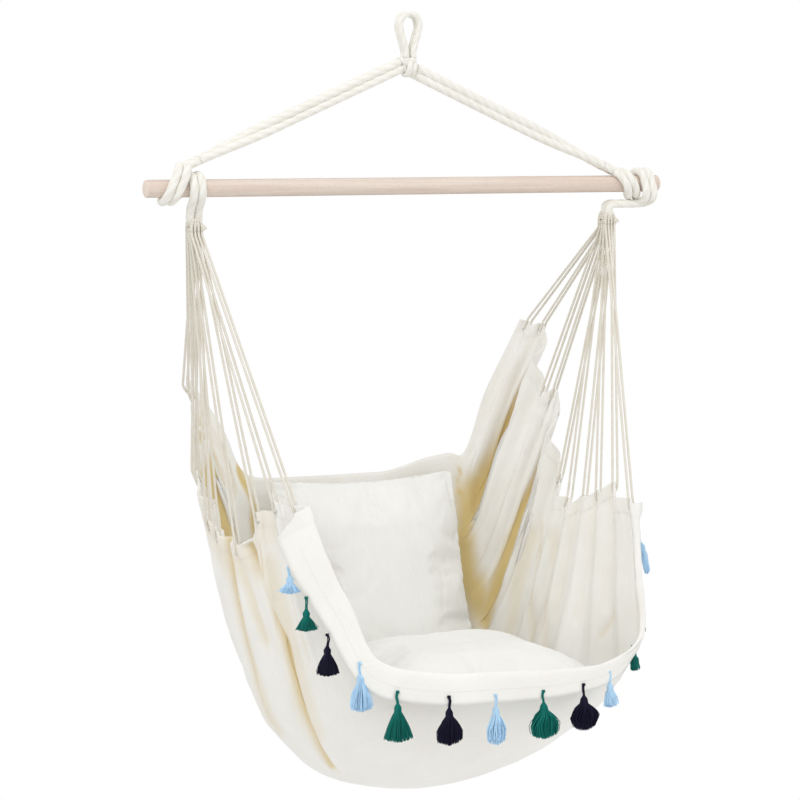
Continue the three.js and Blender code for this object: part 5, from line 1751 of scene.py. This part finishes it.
@dataclass
class Tassels:
    """The row of yarn tassels along the turned-over hem, each on its own joint."""

    head_radius: float = 6.0 * MM
    neck_radius: float = 3.9 * MM
    skirt_radius: float = 23 * MM
    length: float = 76 * MM
    thread_drop: float = 18 * MM
    neck_drop: float = 30 * MM
    strand_radius: float = 0.8 * MM
    strands: int = 340
    flat_share: float = 0.46
    head_share: float = 0.24
    end_unevenness: float = 4.5 * MM
    curl: float = 0.9 * MM
    steps: int = 7
    looks: tuple[TasselLook, ...] = (
        TasselLook(0.80, 1.0, 3, 0.64, 0.0), TasselLook(0.86, 1.0, 3, 0.72, 0.0), TasselLook(0.92, 1.0, 3, 0.90, 0.2),
        TasselLook(0.96, 1.4, 5, 1.05, 0.4), TasselLook(1.20, 1.2, 4, 1.09, 0.15), TasselLook(1.22, 1.3, 9, 1.06, 0.6),
        TasselLook(0.92, 1.8, 7, 1.10, 0.8), TasselLook(1.66, 1.3, 6, 1.06, 0.7), TasselLook(1.48, 1.1, 4, 1.04, 0.95),
        TasselLook(0.96, 1.2, 4, 0.80, 0.3), TasselLook(1.12, 1.8, 7, 0.56, 0.3, 0.55), TasselLook(0.95, 1.2, 4, 0.75),
        TasselLook(0.74, 1.5, 6, 0.98, 0.5),
    )

    def frame_of(self, number: int) -> tuple[Matrix, str]:
        """Where one tassel hangs and how it is turned, worked out from its joint and its solid.

        Args:
            number: the tassel's number, from 1.

        Returns:
            The matrix from its own axes to the chair's, and its node's name.
        """
        node = f"tassel_{number:02d}"
        joint = next(j for j in frame["joints"] if j["child"] == node)
        anchor = Vector(joint["pos_m"])
        axis = Vector(joint["axis"]).normalized()
        places = np.array([v.co for v in frame["nodes"][node].data.vertices])
        away = np.linalg.norm(places - np.array(anchor), axis=1)
        low = Vector(places[away > 0.9 * away.max()].mean(axis=0))
        up = (anchor - low).normalized()
        side = (axis - up * axis.dot(up)).normalized()
        back = up.cross(side)
        turned = Matrix((side, back, up)).transposed().to_4x4()
        return Matrix.Translation(anchor) @ turned, node

    def strand_routes(self, look: TasselLook, rng: np.random.Generator) -> np.ndarray:
        """The routes of a skirt's strands.

        Args:
            look: the tassel's own width and fluff.
            rng: the seeded source of its unevenness.

        Returns:
            Points by strand and step, in the tassel's own axes.
        """
        count = self.strands
        angle = rng.uniform(0, TURN, count)
        share = np.sqrt(rng.uniform(0, 1, count)) * 0.97
        end_share = np.clip(share * rng.uniform(0.86, 1.06, count), 0, 1.1)
        length = self.length * look.length_share - rng.uniform(0, self.end_unevenness, count) * look.fluff
        length = length + 1.5 * MM * (1 - share) - 6 * MM * look.belly * share ** 3
        t = np.linspace(0, 1, self.steps + 1)[None, :]
        head = np.clip(t / self.head_share, 0, 1)
        skirt = np.clip((t - self.head_share) / (1 - self.head_share), 0, 1)
        head_reach = self.neck_radius + (self.head_radius - self.neck_radius) * np.sin(head * math.pi)
        reach = share[:, None] * head_reach * (0.35 + 0.65 * smooth(head * 3))
        wide = self.skirt_radius * look.width_share * end_share[:, None]
        ball = np.sin(np.clip(skirt * 1.3, 0, 1) * math.pi / 2) * (1 - 0.34 * smooth((skirt - 0.62) / 0.38))
        flare = skirt ** 0.86 * (1 - look.belly) + ball * look.belly
        reach = reach + (wide - share[:, None] * self.neck_radius) * flare
        curl = rng.normal(0, self.curl, (2, count, 1)) * look.fluff * skirt ** 2
        x = reach * np.cos(angle)[:, None] + curl[0]
        # Flatter on the side that faces the cloth, so that it clears it when it swings back
        flat_share = np.where(np.sin(angle) < 0, self.flat_share * 0.6, self.flat_share)[:, None]
        y = reach * np.sin(angle)[:, None] * (1 + (flat_share - 1) * smooth(skirt * 1.6)) + np.abs(curl[1]) * 0.4
        top = -self.thread_drop * look.thread_share
        neck = -self.neck_drop * look.thread_share
        z = np.where(t < self.head_share, top + (neck - top) * head, neck + (-length[:, None] - neck) * skirt)
        bow = 1 - 0.04 * np.abs(x) / self.skirt_radius * skirt
        return np.stack([x, y, z * bow], axis=-1)

    def strand_mesh(self, routes: np.ndarray, radius: float) -> tuple[np.ndarray, np.ndarray]:
        """Three-sided strands along routes.

        Args:
            routes: points by strand and step.
            radius: the strands' radius.

        Returns:
            The vertices and the four-cornered faces.
        """
        count, steps, _ = routes.shape
        way = unit(np.gradient(routes, axis=1))
        side = unit(np.cross(way, (0.2, 0.97, 0.1)))
        other = np.cross(way, side)
        angles = np.arange(3) * TURN / 3
        taper = np.linspace(1, 0.7, steps)[None, :, None, None]
        ring = (side[:, :, None] * np.cos(angles)[:, None] + other[:, :, None] * np.sin(angles)[:, None])
        places = (routes[:, :, None] + ring * radius * taper).reshape(-1, 3)
        base = (np.arange(count)[:, None, None] * steps + np.arange(steps - 1)[None, :, None]) * 3
        k, after = np.arange(3), (np.arange(3) + 1) % 3
        quads = np.stack([base + k, base + after, base + after + 3, base + k + 3], axis=-1).reshape(-1, 4)
        return places, quads

    def build_one(self, number: int, finishes: dict[Yarn, bpy.types.Material]) -> bpy.types.Object:
        """Makes one tassel: thread, tied head and loose skirt.

        Args:
            number: its number from the left, from 1.
            finishes: the material of each yarn.

        Returns:
            The tassel.
        """
        rng = np.random.default_rng(900 + number)
        look = self.looks[number - 1]
        yarn = list(Yarn)[(number - 1) % 3]
        place, node = self.frame_of(number)
        routes = self.strand_routes(look, rng)
        strays = self.strand_routes(look, rng)[:look.strays]
        strays[..., 0] += np.linspace(0, 1, self.steps + 1)[None, :] ** 2 * rng.uniform(-9, 9, (look.strays, 1)) * MM
        places, faces = self.strand_mesh(np.concatenate([routes, strays]), self.strand_radius)
        tone = np.repeat(rng.uniform(0, 1, self.strands + look.strays), (self.steps + 1) * 3)
        skirt = make_mesh(f"tassel_{number:02d}_yarn", places, faces)
        give_attribute(skirt, "strand", tone)
        tie = Laid(1.0 * MM, 6 * MM, groove_share=0.2, sides=6, steps_per_turn=6)
        drop = look.thread_share
        binding = [(self.neck_radius * math.cos(a) * 1.08, self.neck_radius * math.sin(a) * 1.08,
                    -self.neck_drop * drop + 2.6 * MM - a / TURN * 1.5 * MM) for a in np.linspace(0, 3.2 * TURN, 60)]
        thread = Laid(1.3 * MM, 9 * MM, groove_share=0.2, sides=6, steps_per_turn=6)
        ties = [tie.along("binding", binding)]
        sway = 2.5 * MM * math.sin(number * 1.7)
        for k in (-1, 1):
            ties.append(thread.along("thread", [
                (k * 0.9 * MM, 0, 1.5 * MM), (k * 1.3 * MM + sway * drop, 0, -7 * MM * drop),
                (k * 1.1 * MM + sway * 0.4 * drop, 0, -14 * MM * drop),
                (k * 1.6 * MM, 0, -self.thread_drop * drop - 3 * MM)], phase=k))
        loops = [(2.1 * MM * math.cos(a), 2.1 * MM * math.sin(a), 1.6 * MM * math.sin(a * 1.5))
                 for a in np.linspace(0, 2 * TURN, 40)]
        ties.append(thread.along("small_knot", loops))
        for tied in ties:
            give_attribute(tied, "strand", np.full(len(tied.data.vertices), 0.1))
        tassel = join(f"tassel_{number:02d}_yarn", [skirt] + ties)
        tassel.data.transform(place)
        settle(tassel, node, finishes[yarn], (node,))
        return tassel

    def build(self) -> None:
        """Makes all the tassels."""
        finishes = {yarn: YarnFinish(yarn).make() for yarn in Yarn}
        for number in range(1, len(self.looks) + 1):
            self.build_one(number, finishes)


@dataclass
class Studio:
    """The camera at the photograph's angle, a pale floor and soft light."""

    azimuth: float = -25.0
    pitch: float = 6.21
    distance: float = 4.5
    lens: float = 113.46
    sensor: float = 36.0
    aside: float = -14.6 * MM
    target_z: float = -667.7 * MM
    floor_drop: float = 1.95
    floor_radius: float = 1.45
    floor_colour: str = "F4F4F4"
    floor_white: float = 0.6
    ambient: float = 0.84

    def place_camera(self) -> None:
        """Sets up the camera."""
        a, e = math.radians(self.azimuth), math.radians(self.pitch)
        back = Vector((math.sin(a) * math.cos(e), -math.cos(a) * math.cos(e), math.sin(e)))
        target = Vector((math.cos(a), math.sin(a), 0)) * self.aside + Vector((0, 0, self.target_z))
        data = bpy.data.cameras.new("camera")
        data.lens, data.sensor_width = self.lens, self.sensor
        camera = bpy.data.objects.new("camera", data)
        camera.location = target + back * self.distance
        camera.rotation_euler = (math.pi / 2 - e, 0, a)
        bpy.context.scene.collection.objects.link(camera)
        bpy.context.scene.camera = camera

    def add_lamp(self, name: str, place: tuple, size: float, power: float) -> None:
        """Hangs one soft square lamp that looks at the middle of the chair.

        Args:
            name: the lamp's name.
            place: where it hangs.
            size: its side.
            power: its power in watts.
        """
        data = bpy.data.lights.new(name, "AREA")
        data.shape, data.size, data.energy = "SQUARE", size, power
        lamp = bpy.data.objects.new(name, data)
        lamp.location = place
        aim = Vector((0, 0, self.target_z)) - Vector(place)
        lamp.rotation_euler = aim.to_track_quat("-Z", "Y").to_euler()
        bpy.context.scene.collection.objects.link(lamp)

    def seen(self, tree: bpy.types.NodeTree) -> bpy.types.NodeSocket:
        """Is this ray the camera's, a mirror's or a glass's, as a number from 0 to 1."""
        path = add_node(tree, "LightPath").outputs
        either = add_node(tree, "Math", {0: path["Is Camera Ray"], 1: path["Is Glossy Ray"]}, operation="MAXIMUM")
        return add_node(tree, "Math", {0: either.outputs[0], 1: path["Is Transmission Ray"]},
                        operation="MAXIMUM").outputs[0]

    def light_world(self) -> None:
        """Makes the world white to the camera and a plain soft light to the chair."""
        world = bpy.data.worlds.new("studio")
        world.use_nodes = True
        bpy.context.scene.world = world
        tree = world.node_tree
        background = tree.nodes["Background"]
        background.inputs["Color"].default_value = (1, 1, 1, 1)
        strength = add_node(tree, "Mix", {0: self.seen(tree), 2: self.ambient, 3: 1.0})
        tree.links.new(strength.outputs[0], background.inputs["Strength"])

    def lay_floor(self) -> None:
        """Lays a round pale floor below the chair, which keeps its shadow."""
        bpy.ops.object.select_all(action="DESELECT")
        bpy.ops.mesh.primitive_circle_add(vertices=96, radius=self.floor_radius, fill_type="NGON",
                                          location=(0, 0, -self.floor_drop))
        floor = bpy.context.object
        floor.name = "studio_floor"
        bpy.ops.object.transform_apply(location=True)
        material = bpy.data.materials.new("pale_studio_floor")
        material.use_nodes = True
        tree = material.node_tree
        shader = tree.nodes["Principled BSDF"]
        shader.inputs["Base Color"].default_value = linear(self.floor_colour)
        shader.inputs["Roughness"].default_value = 0.9
        white = add_node(tree, "Emission", {"Color": (1, 1, 1, 1), "Strength": 1.0})
        share = add_node(tree, "Math", {0: self.seen(tree), 1: self.floor_white}, operation="MULTIPLY")
        mix = add_node(tree, "MixShader", {0: share.outputs[0], 1: shader.outputs[0], 2: white.outputs[0]})
        tree.links.new(mix.outputs[0], tree.nodes["Material Output"].inputs["Surface"])
        floor.data.materials.append(material)

    def build(self) -> None:
        """Sets up the camera, the floor, the world and the lamps."""
        bpy.context.scene.view_settings.view_transform = "Standard"
        self.place_camera()
        self.lay_floor()
        self.light_world()
        self.add_lamp("key", (-2.2, -2.0, 3.0), 2.2, 50)
        self.add_lamp("fill", (2.4, -3.2, 0.4), 2.6, 16)


def main() -> None:
    """Builds the studio and the chair, piece by piece."""
    logging.basicConfig(level=logging.INFO, format="%(name)s: %(message)s")
    Studio().build()
    rope = CottonFinish().make()
    canvas = CanvasFinish("unbleached_cotton_canvas").make()
    cover = CanvasFinish("cotton_cushion_cover", high="F3F3F0", low="ECEBE6").make()
    bar = Bar()
    bar.build(BeechFinish().make())
    ropes = Suspension(bar)
    ropes.build(rope)
    pouch = Pouch()
    seat = pouch.build(canvas)
    stitching = Stitching(pouch).build(canvas)
    # The cord's low colour is painted shade, deeper and browner in the grooves between its strands
    thin_cord = CottonFinish("laid_cotton_cord", "F0EDE4", "D0C5AF", 17 * MM, 0.6, 9).make()
    cords = SeatCords(ropes, pouch)
    cords.build(thin_cord)
    log.info("the pouch has %.3f square metres of cloth", pouch.area)
    Cushion("seat_pad_cover", "seat_cushion", "seat_cushion", 420 * MM, 394 * MM, (40 * MM, -126 * MM),
            corner_share=0.08, fill=0.75, free_growth=12 * MM).build(cover)
    Cushion("back_pad_cover", "back_cushion", "back_cushion", 400 * MM, 470 * MM, (0.0, 0.0),
            upright=True, skew=44 * MM, fill=0.65).build(cover)
    Tassels().build()


if __name__ == "__main__":
    main()
